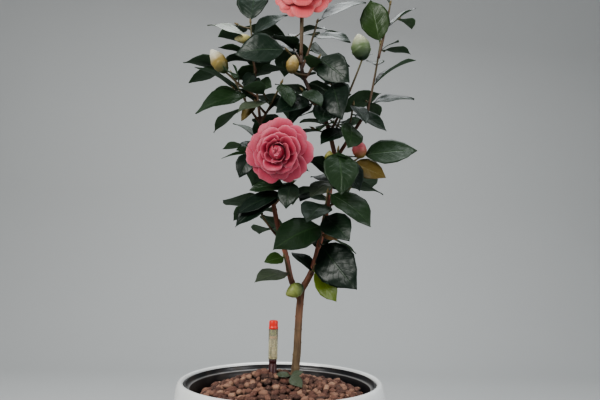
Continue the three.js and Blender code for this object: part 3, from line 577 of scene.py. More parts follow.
def bark_points(name):
    """A limb's skin: its radius falls evenly from foot to tip, with a flare at the trunk's root, long
    low ridges that turn slowly round the stem, faint lumps, and a raised ring at each old leaf's
    place."""
    foot, tip, knots = LIMBS[name]
    t = np.linspace(0, 1, LIMB_ROWS)
    path = smooth_path(knots, t)
    run = np.concatenate([[0], np.linalg.norm(np.diff(path, axis=0), axis=1).cumsum()])[:, None]
    angle = np.linspace(0, TURN, LIMB_COLUMNS, endpoint=False)
    taper = foot + (tip - foot) * t[:, None]
    if name == "trunk":
        taper = taper + TRUNK_FLARE * np.exp(-FLARE_FALL * t[:, None])
    rough = np.clip((SMOOTH_ABOVE - path[:, 2:]) / SMOOTH_FALL, 0.25, 1.0)
    ridges = 0.035 * np.sin(3 * angle + run / 19) + 0.03 * np.sin(5 * angle - run / 13 + 1.0)
    lumps = 0.03 * np.sin(run / 7.3 + 2 * np.sin(angle + run / 31))
    off_ring = (run / RING_EVERY % 1 - 0.5) / RING_WIDTH
    rings = 0.06 * np.exp(-off_ring ** 2) * (1.2 + np.sin(angle + 2.4 * (run // RING_EVERY)))
    return tube_points(path, taper * (1 + rough * (ridges + lumps) + rings), LIMB_COLUMNS)


OLD_WOOD = (0.135, 0.095, 0.050), (0.21, 0.150, 0.085)
YOUNG_WOOD = (0.20, 0.058, 0.032), (0.29, 0.105, 0.058)
CROWN_WOOD = (0.080, 0.046, 0.032)
FURROW = (0.045, 0.022, 0.016)

bark, place = new_finish("bark")
height = height_in(bark, place)
streaks = grain(bark, place, 260, 5.0, (1, 1, 0.16))
patches = grain(bark, place, 45, 3.0)
young = spread(bark, reckon(bark, "ADD", height, reckon(bark, "MULTIPLY", patches, 0.10)), 0.34, 0.47)
old_wood = blend_colours(bark, patches, *OLD_WOOD)
young_wood = blend_colours(bark, patches, *YOUNG_WOOD)
colour = blend_colours(bark, young, old_wood, young_wood)
colour = blend_colours(bark, spread(bark, height, 0.50, 0.66), colour, CROWN_WOOD)
furrows = spread(bark, streaks, 0.40, 0.60, 0.50, 0.0)
set_surface(bark, {
    "Base Color": blend_colours(bark, furrows, colour, FURROW),
    "Roughness": spread(bark, young, 0.0, 1.0, 0.85, 0.55),
    "Normal": relief(bark, streaks, 0.7, 0.0012),
})
quads, _ = ring_quads(LIMB_ROWS + 2, LIMB_COLUMNS, len(LIMBS))
wood = add_piece("trunk_and_boughs", [bark_points(name) for name in LIMBS], quads, bark)
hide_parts(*LIMBS)

# Where everything grows
# Shoots leave the boughs and carry leaves from their tips down. A leaf that would touch what has grown
# already is turned aside a little at a time, and left out if that doesn't help.

# Each mass has a seed and its shoots. A shoot is told by its foot, its tip, its aimed leaves (bearing,
# rise, length and roll), how many more leaves follow from the seed, and the flower bud at its tip.
MASSES = {
    "low_right": (3, [
        ((50, 6, 436), (60, -28, 512), [(-19, -37, 77, -40), (-118, -26, 66, 20),
            (-56, -34, 67, -40), (-148, -24, 87, 45), (-30, -17, 27, -30), (-48, -42, 93, -62)], 0, ""),
    ]),
    "low_fork": (5, [
        ((38, 5, 400), (44, -12, 412), [(-13, -31, 52, -50), (-44, -53, 55, -60), (131, 34, 53, 0)], 0, ""),
        ((24, 0, 376), (26, -17, 384), [], 0, "low"),
    ]),
    "low_left": (7, [
        ((12, -1, 396), (3, -20, 424), [(-146, -12, 33, 50), (-144, -11, 58, 22)], 0, ""),
    ]),
    "below_bloom": (11, [
        ((-14, -2, 497), (10, -24, 528), [(-57, -57, 49, 0), (154, -5, 54, 45),
            (-176, -27, 73, 35), (-151, -34, 77, 35)], 1, ""),
    ]),
    "mid_left": (13, [
        ((-29, 1, 560), (-50, -4, 575), [(-162, -5, 20, 55), (-142, -61, 44, 50), (119, 39, 47, 20)], 1, ""),
    ]),
    "mid_right": (17, [
        ((69, 7, 548), (108, -8, 568), [(-3, 5, 79, -55), (-16, -22, 56, -60), (60, 10, 60, 0)], 0, "pink"),
    ]),
    "mid_front": (18, [
        ((66, 8, 526), (74, -26, 572), [(-87, -62, 77, 0), (-46, -45, 63, -30), (-145, 22, 43, 70),
            (-129, -34, 50, 30)], 0, ""),
        ((66, 7, 538), (62, -16, 560), [], 0, "small"),
    ]),
    "side_right": (19, [
        ((88, 7, 590), (96, -12, 640), [(-62, -47, 47, 0), (-4, -26, 56, -45), (-100, -50, 60, 40),
            (-157, -28, 57, 30)], 1, ""),
    ]),
    "centre": (23, [
        ((57, 3, 622), (66, -14, 672), [(-75, -58, 75, -45), (150, 30, 50, 0), (-99, -43, 57, 20),
            (75, 10, 54, 0)], 0, ""),
    ]),
    "centre_left": (24, [
        ((47, 1, 643), (24, -26, 656), [(-42, -39, 46, -30), (-142, -30, 65, 45),
            (-120, -44, 55, 30)], 0, ""),
    ]),
    "inner_left": (29, [
        ((-36, 4, 618), (-6, -32, 664), [(-31, -57, 47, -10), (-154, -21, 57, 25),
            (-33, 37, 50, -40)], 0, ""),
        ((-28, -6, 628), (-40, -16, 640), [(-153, -50, 34, 60), (170, -30, 44, 40)], 0, ""),
    ]),
    "upper_centre": (31, [
        ((27, -2, 682), (46, -14, 708), [(-30, -41, 71, -75), (20, 2, 54, -50), (-92, -49, 87, 20),
            (-160, -20, 44, 30), (100, 10, 56, 0)], 0, ""),
        ((32, -5, 686), (8, -25, 684), [(150, 10, 56, 0)], 0, "inner"),
    ]),
    "inner_upper_left": (37, [
        ((22, -3, 704), (2, -30, 712), [(180, -5, 76, 78), (110, 0, 50, 0)], 0, ""),
    ]),
    "upper_left": (41, [
        ((-37, 4, 624), (-54, 0, 766), [(83, 67, 80, 0), (-16, 29, 61, -52), (80, -20, 60, 0),
            (150, 10, 54, 0), (-142, -50, 31, 60), (-52, -20, 44, -60), (60, 0, 64, 0),
            (-135, 37, 40, 40)], 0, ""),
        ((-40, 4, 654), (-87, -18, 686), [(-60, -30, 44, 20), (180, 70, 32, 0),
            (-152, -22, 88, 40)], 0, "left_tall"),
        ((-44, 3, 690), (-54, -12, 736), [(-178, 19, 65, 35), (-60, -30, 44, -40)], 0, "left_small"),
    ]),
    "top": (43, [
        ((23, -2, 698), (44, 8, 772), [(-8, 21, 78, -40), (-16, -12, 59, -40), (8, 1, 81, -50),
            (25, -10, 48, 0)], 0, ""),
    ]),
    "bud_bough": (47, [
        ((64, 5, 604), (110, -8, 712), [(95, 20, 50, 0), (150, 0, 50, 0), (60, 10, 50, 0)], 0, "green"),
    ]),
    "upper_right": (53, [
        ((118, 5, 634), (137, 3, 738), [(180, 79, 70, 90), (90, 30, 44, 0), (5, 36, 79, -10),
            (-13, 4, 65, -30)], 0, ""),
        ((134, 3, 716), (152, 4, 800), [(150, 50, 50, 0), (1, 36, 57, -20), (34, 33, 46, 0)], 0, ""),
    ]),
    "back_low": (59, [
        ((44, 6, 418), (54, 66, 470), [], 7, ""),
    ]),
    "back_left_low": (61, [
        ((-2, -3, 448), (-40, 56, 498), [], 7, ""),
    ]),
    "back_right_low": (67, [
        ((60, 7, 492), (98, 62, 548), [], 8, ""),
    ]),
    "back_left": (71, [
        ((-24, 0, 543), (-44, 68, 606), [], 8, ""),
    ]),
    "back_right": (73, [
        ((66, 5, 596), (88, 66, 656), [], 8, ""),
    ]),
    "back_centre": (79, [
        ((48, 1, 640), (24, 70, 690), [], 8, ""),
    ]),
    "back_high": (83, [
        ((22, -3, 708), (2, 56, 768), [], 9, ""),
    ]),
    "back_upper_left": (89, [
        ((-36, 4, 616), (-86, 48, 706), [], 8, ""),
    ]),
}
# A bloom is told by its stalk's foot, its middle, the way that it looks and its radius, and a bud by its
# radius, its length and the way that it points.
BLOOMS = {
    "bloom_front": ((-22, -1, 540), (-8, -62, 561), (-0.1, -1, -0.17), 49),
    "bloom_top": ((21, -3, 716), (22, -25, 815), (0.03, -0.97, 0.2), 51),
}
BUDS = {
    "left_tall": (12, 38, (-0.56, -0.1, 0.83)),
    "left_small": (7, 24, (-1, -0.1, -0.05)),
    "inner": (10, 26, (0.15, -0.1, 1)),
    "green": (15, 40, (-0.2, -0.05, 1)),
    "pink": (11, 27, (-0.3, -0.1, 1)),
    "small": (7, 16, (0.1, -0.1, 1)),
    "low": (10.5, 34, (-0.86, -0.22, -0.44)),
}
TWIG_FOOT = 2.0
TWIG_TIP = 1.2
TWIG_SAG = 0.1
STEM_BARE = 10
LEAF_BREADTH = 0.62
LEAF_ARCH = 0.5
STALK_SHARE = 0.08
PETIOLE = 1.1
SEEDED_RISE = (-30, 34)
SEEDED_LENGTH = (58, 80)
SEEDED_ROLL = (-20, 20)
AIMED_ROOM = 5.5
LEAF_ROOM = 7.5
LIMB_ROOM = 3
BUD_ROOM = 1
BALL_STEP = 5
CORE_BALL = {"radius": 0.6, "behind": 0.08}
RIM_BALL = {"radius": 0.33, "behind": 0.2, "out": 0.78, "count": 12}
TURNS_ASIDE = (0, 10, -10, 20, -20, 32, -32, 46, -46)
GOLDEN_ANGLE = 137.5


def seeded_draw(seed):
    """The same numbers every time, from low to high, each worked out from the one before."""
    state = seed * 7919

    def draw(low, high):
        nonlocal state
        state = state * 16807 % 2147483647
        return low + (high - low) * state / 2147483647

    return draw


def twig_points(start, end, t):
    """Places along a twig that sags: a quadratic curve whose middle hangs by a share of its length."""
    start, end = np.asarray(start, float), np.asarray(end, float)
    middle = (start + end) / 2
    middle[2] -= TWIG_SAG * np.linalg.norm(end - start)
    t = np.asarray(t, float)[..., None]
    return start * (1 - t) ** 2 + middle * 2 * t * (1 - t) + end * t * t


def leaf_frame(root, bearing, rise, length, roll):
    """A leaf's own directions: across it, along it and up from it at its root, and its length. Its chord
    has the bearing and rise, and the blade is rolled about the chord."""
    bearing, rise, roll = np.radians([bearing, rise, roll])
    level_run = math.cos(rise)
    chord = np.array([math.cos(bearing) * level_run, math.sin(bearing) * level_run, math.sin(rise)])
    level = unit(np.cross(chord, [0, 0, 1]))
    upper = np.cross(level, chord)
    side = level * math.cos(roll) + upper * math.sin(roll)
    face = upper * math.cos(roll) - level * math.sin(roll)
    along = chord * math.cos(LEAF_ARCH / 2) + face * math.sin(LEAF_ARCH / 2)
    up = face * math.cos(LEAF_ARCH / 2) - chord * math.sin(LEAF_ARCH / 2)
    return np.array([root, side, along, up]), length


def leaf_half(u, length):
    """Half the leaf's width: a raised sine of the share along it, and a round stalk at its foot."""
    s = np.clip((u - STALK_SHARE) / (1 - STALK_SHARE), 0, 1)
    blade = 0.5 * LEAF_BREADTH * length * np.maximum(np.sin(math.pi * s ** 0.85), 0) ** 0.8
    return np.maximum(blade, PETIOLE * np.where(u < 0.5, 1, 0.5))


def leaf_places(leaf):
    """Places on the leaf's midrib arc and across its blade, to be kept clear of what has grown."""
    (root, side, along, up), length = leaf
    u = 0.3 + 0.7 * np.arange(9)[:, None, None] / 8
    v = np.array([-0.9, -0.45, 0, 0.45, 0.9])[:, None]
    bow, ring = LEAF_ARCH * u, length / LEAF_ARCH
    arc = root + along * ring * np.sin(bow) - up * ring * (1 - np.cos(bow))
    return (arc + side * v * leaf_half(u, length)).reshape(-1, 3)


def add_balls(taken, points, radii, mass):
    """Balls to be kept clear of, which a mass's own leaves may touch."""
    taken["at"] = np.concatenate([taken["at"], points])
    taken["radius"] = np.concatenate([taken["radius"], np.broadcast_to(radii, len(points))])
    taken["mass"] = np.concatenate([taken["mass"], [mass] * len(points)])


def add_twig_balls(taken, start, end, mass):
    """Balls along a twig, at even steps."""
    count = math.ceil(math.dist(start, end) / BALL_STEP)
    t = np.arange(count + 1) / count
    add_balls(taken, twig_points(start, end, t), TWIG_FOOT + (TWIG_TIP - TWIG_FOOT) * t + LIMB_ROOM, mass)


def bloom_frame(looks):
    """Which way a bloom looks, with two directions across it: one level and one at right angles."""
    out = unit(looks)
    level = unit(np.cross((0, 0, 1), out))
    return out, level, np.cross(out, level)


taken = {"at": np.zeros((0, 3)), "radius": np.zeros(0), "mass": np.zeros(0, "U20")}
for foot, tip, knots in LIMBS.values():
    drawn = smooth_path(knots, np.linspace(0, 1, 201))
    count = math.ceil(np.linalg.norm(np.diff(drawn, axis=0), axis=1).sum() / BALL_STEP)
    t = np.arange(count + 1) / count
    add_balls(taken, smooth_path(knots, t), foot + (tip - foot) * t + LIMB_ROOM, "")
for start, heart, looks, radius in BLOOMS.values():
    out, level, third = bloom_frame(looks)
    middle = np.array(heart) - CORE_BALL["behind"] * radius * out
    add_balls(taken, middle[None], CORE_BALL["radius"] * radius, "")
    add_twig_balls(taken, start, heart, "")
    angle = TURN * np.arange(RIM_BALL["count"])[:, None] / RIM_BALL["count"]
    rim = level * np.cos(angle) + third * np.sin(angle)
    places = np.array(heart) - RIM_BALL["behind"] * radius * out + RIM_BALL["out"] * radius * rim
    add_balls(taken, places, RIM_BALL["radius"] * radius, "")
for mass, (_, shoots) in MASSES.items():
    for start, end, _, _, bud in shoots:
        add_twig_balls(taken, start, end, mass)
        if bud:
            radius, length, points = BUDS[bud]
            add_balls(taken, (np.array(end) + 0.4 * length * unit(points))[None], radius + BUD_ROOM, "")
grown = np.zeros((0, 3))


def has_room(places, mass, room):
    """Whether the places keep clear of the balls of others and of every leaf grown so far."""
    others = taken["mass"] != mass
    gaps = np.linalg.norm(places[:, None] - taken["at"][others], axis=-1) - taken["radius"][others]
    apart = np.linalg.norm(places[:, None] - grown, axis=-1)
    return gaps.min() > 0 and (apart.size == 0 or apart.min() > room)


def wanted_leaves(mass):
    """The leaves that a mass would like: on each shoot the aimed ones from the tip down, then seeded
    ones, each turned by the golden angle from the last."""
    seed, shoots = MASSES[mass]
    draw = seeded_draw(seed)
    wanted = []
    for number, (start, end, aimed, more, _) in enumerate(shoots):
        count = len(aimed) + more
        first = draw(0, 360)
        lowest = min(max(STEM_BARE / math.dist(start, end), 0.15), 0.6)
        for i in range(count):
            root = twig_points(start, end, 1 - (1 - lowest) * i / max(count - 1, 1))
            seeded = (first + GOLDEN_ANGLE * i, draw(*SEEDED_RISE), draw(*SEEDED_LENGTH), draw(*SEEDED_ROLL))
            is_aimed = i < len(aimed)
            wanted.append((mass, f"{number}.{i}", root, is_aimed, aimed[i] if is_aimed else seeded))
    return wanted


def try_leaf(mass, root, habit, room):
    """The leaf in the first turn aside that has room, kept clear of from then on, or nothing."""
    global grown
    for aside in TURNS_ASIDE:
        leaf = leaf_frame(root, habit[0] + aside, *habit[1:])
        places = leaf_places(leaf)
        if has_room(places, mass, room):
            grown = np.concatenate([grown, places])
            return leaf
    return None


wanted = [leaf for mass in MASSES for leaf in wanted_leaves(mass)]
leaves = []
for wave, room in ((True, AIMED_ROOM), (False, LEAF_ROOM)):
    for mass, label, root, is_aimed, habit in wanted:
        if is_aimed == wave:
            leaf = try_leaf(mass, root, habit, room)
            if leaf:
                leaves.append((mass, label, leaf))

# Finer twigs
# Short side twigs that the shoots put out, each ending in a young leaf or two and a pointed leaf bud. One
# that would leave the space of its shoot's leaves, or that finds no room for a leaf, doesn't grow.

FINE_SEED = 500
FINE_PLACES = (0.20, 0.35, 0.50, 0.65, 0.80, 0.95)
FINE_RISE = (-10, 50)
FINE_LENGTH = (16, 32)
FINE_BLADES = (44, 60), (36, 52)
FINE_SIDES = (40, -50)
FINE_BLADE_RISE = (-30, 20)
FINE_BACK = 0.35
FINE_ROOM = 5.0
FINE_FOOT = 1.3
FINE_TIP = 0.9
BOX_SLACK = 4

fine_twigs = []
for mass, (seed, shoots) in MASSES.items():
    draw = seeded_draw(seed + FINE_SEED)
    low, high = (np.array(corner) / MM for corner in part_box(mass))
    for number, (start, end, *_) in enumerate(shoots):
        first = draw(0, 360)
        for i, t in enumerate(FINE_PLACES):
            bearing, rise, length = first + GOLDEN_ANGLE * i, draw(*FINE_RISE), draw(*FINE_LENGTH)
            blades = [draw(*reach) for reach in FINE_BLADES]
            root = twig_points(start, end, t)
            (_, _, along, _), _ = leaf_frame(root, bearing, rise, length, 0)
            tip = root + along * length
            found = []
            for k, (side, blade) in enumerate(zip(FINE_SIDES, blades)):
                foot_place = twig_points(root, tip, 1 - FINE_BACK * k)
                blade_rise, roll = draw(*FINE_BLADE_RISE), draw(*SEEDED_ROLL)
                leaf = leaf_frame(foot_place, bearing + side, blade_rise, blade, roll)
                places = leaf_places(leaf)
                inside = (places > low - BOX_SLACK).all() and (places < high + BOX_SLACK).all()
                if inside and has_room(places, mass, FINE_ROOM):
                    grown = np.concatenate([grown, places])
                    found.append((mass, f"{number}.fine{i}{k}", leaf))
            if found:
                leaves += found
                fine_twigs.append((root, tip))

# Twigs
# Young wood, red brown where it leaves the bough and green toward its tip, with a slight swelling at
# each node. Each twig grows out of the wood that carries it, and a stout stalk carries each bloom.

BASAL_START, BASAL_END = (17, 0, 259), (14, -22, 268)
BLOOM_DEPTH = 0.34
STALK_FOOT = 2.6
STALK_TIP = 2.9
NODE_SWELL = 0.16
TWIG_ROWS = 14
TWIG_COLUMNS = 8


def twig_skin(start, end, foot, tip):
    """A twig's skin: its path sags, its radius falls evenly, and it swells a little at five nodes."""
    t = np.linspace(0, 1, TWIG_ROWS)
    path = twig_points(start, end, t)
    swelling = 1 + NODE_SWELL * np.maximum(np.sin(4.5 * TURN * t), 0) ** 4
    level = abs(path[-1, 2] - path[0, 2]) < 0.7 * np.linalg.norm(path[-1] - path[0])
    return tube_points(path, (foot + (tip - foot) * t) * swelling, TWIG_COLUMNS,
                       np.array([0, 0, 1]) if level else ACROSS)


young_bark, place = new_finish("young_bark")
flecks = grain(young_bark, place, 500, 4.0, (1, 1, 0.3))
colour = blend_colours(young_bark, carried(young_bark, "age"), (0.105, 0.038, 0.024), (0.072, 0.080, 0.028))
set_surface(young_bark, {
    "Base Color": blend_colours(young_bark, spread(young_bark, flecks, 0.52, 0.62, 0.0, 0.6), colour,
                                (0.10, 0.05, 0.03)),
    "Roughness": spread(young_bark, flecks, 0.3, 0.7, 0.42, 0.65),
    "Normal": relief(young_bark, flecks, 0.4, 0.0004),
})
shoot_ends = [(start, end) for _, shoots in MASSES.values() for start, end, *_ in shoots]
skins = [twig_skin(start, end, TWIG_FOOT, TWIG_TIP) for start, end in shoot_ends]
skins += [twig_skin(start, end, FINE_FOOT, FINE_TIP) for start, end in fine_twigs]
skins += [twig_skin(BASAL_START, BASAL_END, FINE_FOOT, FINE_TIP)]
for start, heart, looks, radius in BLOOMS.values():
    back = np.array(heart) - BLOOM_DEPTH * radius * unit(np.array(looks))
    skins.append(twig_skin(start, back, STALK_FOOT, STALK_TIP))
ages = [np.linspace(0.1, 0.9, TWIG_ROWS + 2)] * len(shoot_ends)
ages += [np.linspace(0.6, 1.0, TWIG_ROWS + 2)] * (len(fine_twigs) + 1)
ages += [np.linspace(0.2, 1.0, TWIG_ROWS + 2)] * len(BLOOMS)
quads, _ = ring_quads(TWIG_ROWS + 2, TWIG_COLUMNS, len(skins))
twigs = add_piece("twigs", skins, quads, young_bark, tones={"age": np.repeat(ages, TWIG_COLUMNS, 1)})
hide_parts(*MASSES, "basal_shoot")

# Leaves
# Thick evergreen leaves, dark and glossy above and paler and matt below, each with a short round stalk,
# a pale midrib, side veins and shallow teeth. The blade folds up a little from its midrib and waves.

BLADE_ROWS = 17
BLADE_COLUMNS = 12
BLADE_THICK = 0.42
RIB_THICK = 0.45
TOOTH = 0.022
TIP_DROOP = 0.05
SWAY = 0.035
FOLDS = (0.06, 0.24)
WAVES = (0.010, 0.030)
DROOPS = (-0.5, 1)
VEINS = 9.0
VEIN_SLANT = 5.0
TINTS = {
    "dark": ((0.004, 0.011, 0.007), (0.011, 0.026, 0.013)),
    "mid": ((0.009, 0.024, 0.009), (0.022, 0.046, 0.017)),
    # A lighter green; on the upper right shoot's first leaf it is painted light shining through the leaf
    # from behind.
    "light_green_and_backlit": ((0.020, 0.046, 0.010), (0.040, 0.076, 0.018)),
    "lime": ((0.090, 0.140, 0.016), (0.150, 0.200, 0.028)),
    "olive": ((0.070, 0.050, 0.014), (0.120, 0.085, 0.026)),
    "bronze": ((0.150, 0.085, 0.040), (0.240, 0.150, 0.075)),
    # A grey green; on the four aimed leaves that carry it, it is a painted sheen, and on the basal shoot its
    # own dull colour.
    "grey_green_and_sheen": ((0.045, 0.060, 0.038), (0.092, 0.112, 0.074)),
}
# The upper right leaf's lighter green is painted light through the leaf, and the grey green of the four
# leaves below is a painted sheen.
TINTED = {
    ("upper_right", "0.0"): "light_green_and_backlit",
    ("upper_left", "1.2"): "mid",
    ("low_fork", "0.1"): "lime",
    ("mid_right", "0.1"): "olive",
    ("inner_left", "1.0"): "olive",
    ("low_right", "0.4"): "bronze",
    ("low_left", "0.0"): "light_green_and_backlit",
    ("low_left", "0.1"): "grey_green_and_sheen",
    ("upper_left", "2.0"): "grey_green_and_sheen",
    ("inner_left", "0.1"): "grey_green_and_sheen",
    ("mid_front", "0.3"): "grey_green_and_sheen",
}
MID_EVERY = 3


def blade_rows():
    """Shares along a leaf: two at the stalk's cut, one on the stalk, then closer toward root and tip."""
    s = np.linspace(0, 1, BLADE_ROWS - 3)
    on_blade = STALK_SHARE + (1 - STALK_SHARE) * (s - 0.09 * np.sin(TURN * s))
    return np.concatenate([[0, 0, 0.05], on_blade])


def blade_points(frames, lengths, draw):
    """Leaf skins. The midrib is an arc; across it the half width is a raised sine that draws out to a
    point, with teeth; the skin is a lens in section, round on the stalk and ridged under the midrib; the
    blade rises from the midrib as a fold, waves toward its edges, sways sideways and droops at its tip."""
    root, side, along, up = (frames[:, k][:, None, None] for k in range(4))
    length = lengths[:, None, None]
    u = blade_rows()[:, None]
    w = np.linspace(0, TURN, BLADE_COLUMNS, endpoint=False)
    v, lens = np.cos(w), -np.sin(w)
    s = np.clip((u - STALK_SHARE) / (1 - STALK_SHARE), 0, 1)
    drawn_out = 1 - 0.5 * np.clip((s - 0.72) / 0.28, 0, 1) ** 1.5
    teeth = 1 + TOOTH * (-1.0) ** np.arange(BLADE_ROWS)[:, None]
    half = 0.5 * LEAF_BREADTH * length * np.sin(math.pi * s ** 0.85) ** 0.8 * drawn_out * teeth
    stalk = np.where(u <= STALK_SHARE, 0.95, 0.55) * np.ones_like(half)
    stalk[:, [0, -1]] = 0
    half = np.where(u < 1, np.maximum(half, stalk), 0)
    on_blade = np.clip(s / 0.12, 0, 1)
    thick = stalk * (1 - on_blade) + BLADE_THICK * on_blade * (u < 1)
    under_rib = RIB_THICK * np.exp(-(v / 0.2) ** 2) * np.maximum(-lens, 0) * on_blade * (1 - s)
    least, most = zip(FOLDS, WAVES, (0, TURN), (-1, 1), DROOPS)
    fold, wave, phase, sway, droop = draw.uniform(least, most, (len(lengths), 5)).T[:, :, None, None]
    ripple = np.sin(TURN * 1.5 * u + phase + 1.9 * (v > 0))
    lift = fold * np.abs(v) ** 1.3 * half * on_blade + wave * length * v * v * ripple * on_blade
    lift = lift - TIP_DROOP * droop * length * s ** 3 + lens * thick - under_rib
    shift = v * half + SWAY * sway * length * np.sin(math.pi * u)
    bow, ring = LEAF_ARCH * u[..., None], length[..., None] / LEAF_ARCH
    upward = up * np.cos(bow) + along * np.sin(bow)
    arc = root + along * ring * np.sin(bow) - up * ring * (1 - np.cos(bow))
    return arc + side * shift[..., None] + upward * lift[..., None]


def off_middle(material, share):
    """How far a share lies from one half, either way."""
    return reckon(material, "ABSOLUTE", reckon(material, "SUBTRACT", share, 0.5))


def skin_places(material):
    """The shares of the way across and along the skin, and the distance from its middle line."""
    laid = add_node(material, "UVMap", uv_map="skin").outputs["UV"]
    skin = add_node(material, "SeparateXYZ", {"Vector": laid})
    across, along = skin.outputs["X"], skin.outputs["Y"]
    return across, along, off_middle(material, across)


def leaf_finish(name, dark, light):
    """Leaf green. Each leaf has a tone between dark and light; the midrib and the side veins, which
    leave it slanting toward the tip, are paler, and the underside is paler still and matt."""
    material, place = new_finish(name)
    under = carried(material, "under")
    _, along, off_rib = skin_places(material)
    slant = reckon(material, "SUBTRACT", reckon(material, "MULTIPLY", along, VEINS),
                   reckon(material, "MULTIPLY", off_rib, VEIN_SLANT))
    from_vein = off_middle(material, reckon(material, "FRACT", slant))
    vein = reckon(material, "MULTIPLY", spread(material, from_vein, 0.0, 0.10, 1.0, 0.0),
                  spread(material, off_rib, 0.30, 0.45, 0.45, 0.0))
    rib = spread(material, off_rib, 0.012, 0.035, 1.0, 0.0)
    lines = reckon(material, "MAXIMUM", vein, rib)
    clouds = grain(material, place, 90, 3.0)
    swells = grain(material, place, 70, 0.8)
    faint = reckon(material, "MULTIPLY", clouds, 0.3)
    mixed = reckon(material, "ADD", reckon(material, "MULTIPLY", carried(material, "tone"), 0.7), faint)
    colour = blend_colours(material, mixed, dark, light)
    pale = tuple(1.2 * c + p for c, p in zip(light, (0.030, 0.050, 0.020)))
    colour = blend_colours(material, reckon(material, "MULTIPLY", lines, 0.28), colour, pale)
    below = tuple(0.9 * c + p for c, p in zip(light, (0.022, 0.042, 0.018)))
    raised = reckon(material, "ADD", reckon(material, "MULTIPLY", lines, -0.35),
                    reckon(material, "MULTIPLY", swells, 3.0))
    set_surface(material, {
        "Base Color": blend_colours(material, spread(material, under, 0.4, 0.8), colour, below),
        "Roughness": spread(material, reckon(material, "ADD", under, faint), 0.1, 1.2, 0.34, 0.74),
        "IOR": 1.38,
        "Normal": relief(material, raised, 0.7, 0.0011),
    })
    return material


BASAL_LEAVES = [(175, 4, 20, 30), (14, 16, 18, -30), (-54, -22, 28, -20)]
for k, habit in enumerate(BASAL_LEAVES):
    leaves.append(("basal_shoot", f"0.{k}", leaf_frame(np.array(BASAL_END, float), *habit)))


def tint_of(number, mass, label):
    """A leaf's tint: its own if it has one, and otherwise dark, with every few leaves a lighter one."""
    if mass == "basal_shoot":
        return "grey_green_and_sheen"
    return TINTED.get((mass, label), "mid" if number % MID_EVERY == 0 else "dark")


def across_shares(places):
    """Changes the share of the way round a skin, in place, into the share of the way across it."""
    places[..., 0] = 0.5 + 0.5 * np.cos(TURN * places[..., 0])


tint_names = np.array([tint_of(k, mass, label) for k, (mass, label, _) in enumerate(leaves)])
draw = np.random.default_rng(23)
frames = np.array([leaf[0] for _, _, leaf in leaves])
lengths = np.array([leaf[1] for _, _, leaf in leaves], float)
skins = blade_points(frames, lengths, draw)
leaf_tones = draw.uniform(0, 1, len(leaves))
underside = np.clip(0.5 + np.sin(np.linspace(0, TURN, BLADE_COLUMNS, endpoint=False)) * 2, 0, 1)
for tint, (dark, light) in TINTS.items():
    chosen = np.flatnonzero(tint_names == tint)
    quads, places = ring_quads(BLADE_ROWS, BLADE_COLUMNS, len(chosen))
    across_shares(places)
    places[..., 1] = np.interp(places[..., 1], np.linspace(0, 1, BLADE_ROWS), blade_rows())
    green = leaf_finish(f"leaf_{tint}", dark, light)
    piece = add_piece(f"leaves_{tint}", skins[chosen], quads, green, places, {
        "tone": np.repeat(leaf_tones[chosen], BLADE_ROWS * BLADE_COLUMNS),
        "under": np.tile(underside, len(chosen) * BLADE_ROWS),
    })
    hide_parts(*sorted({leaves[k][0] for k in chosen}))

# Buds
# Flower buds are eggs of overlapping scales, dull green or olive at the foot and paler toward the tip,
# and one is flushed pink; on the tall left bud and the green bud the whitish tip is a painted highlight.
# Leaf buds are small pointed spindles at the ends of the twigs.

BUD_ROWS = 30
BUD_COLUMNS = 30
# The whitish tip colours of left_tall and green are painted highlight; the other tips are the buds' own
# paler colour.
BUD_COLOURS = {
    "left_tall": ((0.04, 0.06, 0.02), (0.29, 0.21, 0.06), (0.55, 0.54, 0.44)),
    "left_small": ((0.16, 0.17, 0.04), (0.55, 0.48, 0.20), (0.70, 0.64, 0.36)),
    "inner": ((0.10, 0.075, 0.025), (0.32, 0.22, 0.065), (0.42, 0.36, 0.18)),
    "green": ((0.015, 0.035, 0.015), (0.12, 0.17, 0.075), (0.44, 0.45, 0.32)),
    "pink": ((0.17, 0.12, 0.03), (0.42, 0.09, 0.10), (0.62, 0.17, 0.20)),
    "small": ((0.10, 0.13, 0.03), (0.30, 0.30, 0.08), (0.40, 0.38, 0.13)),
    "low": ((0.015, 0.03, 0.012), (0.18, 0.22, 0.055), (0.26, 0.30, 0.09)),
}
SCALE_EDGE = (0.16, 0.09, 0.04)
CLOSED_BUDS = {"low": 0.76, "green": 0.95}
BUD_GIRTH = 0.95
BUD_SUNK = 3
TIERS = 4.4
SCALE_PROUD = 0.10
LEAF_BUD_LENGTH = 8.5
LEAF_BUD_SUNK = 1.0
LEAF_BUD_RADIUS = 1.75
LEAF_BUD_ROWS = 10
LEAF_BUD_COLUMNS = 8


def bud_points(end, radius, length, points):
    """An egg on the end of its twig: a raised sine of the share along it, with scales whose free edges
    stand proud in four overlapping tiers."""
    along = unit(points)
    t = np.linspace(0, 1, BUD_ROWS)
    angle = np.linspace(0, TURN, BUD_COLUMNS, endpoint=False)
    swell = radius * np.sin(math.pi * np.minimum(0.97, 0.06 + 0.91 * t ** 0.9)) ** 0.75
    tier = TIERS * t[:, None] + 0.5 * np.abs(np.cos(1.5 * angle + 1.1 * np.floor(TIERS * t[:, None])))
    proud = (tier % 1) * SCALE_PROUD * np.clip((1 - t[:, None]) / 0.3, 0.15, 1)
    path = np.array(end, float) + along * (length * t[:, None] - BUD_SUNK)
    return tube_points(path, np.maximum(swell, 0.8)[:, None] * (0.93 + proud), BUD_COLUMNS), tier % 1


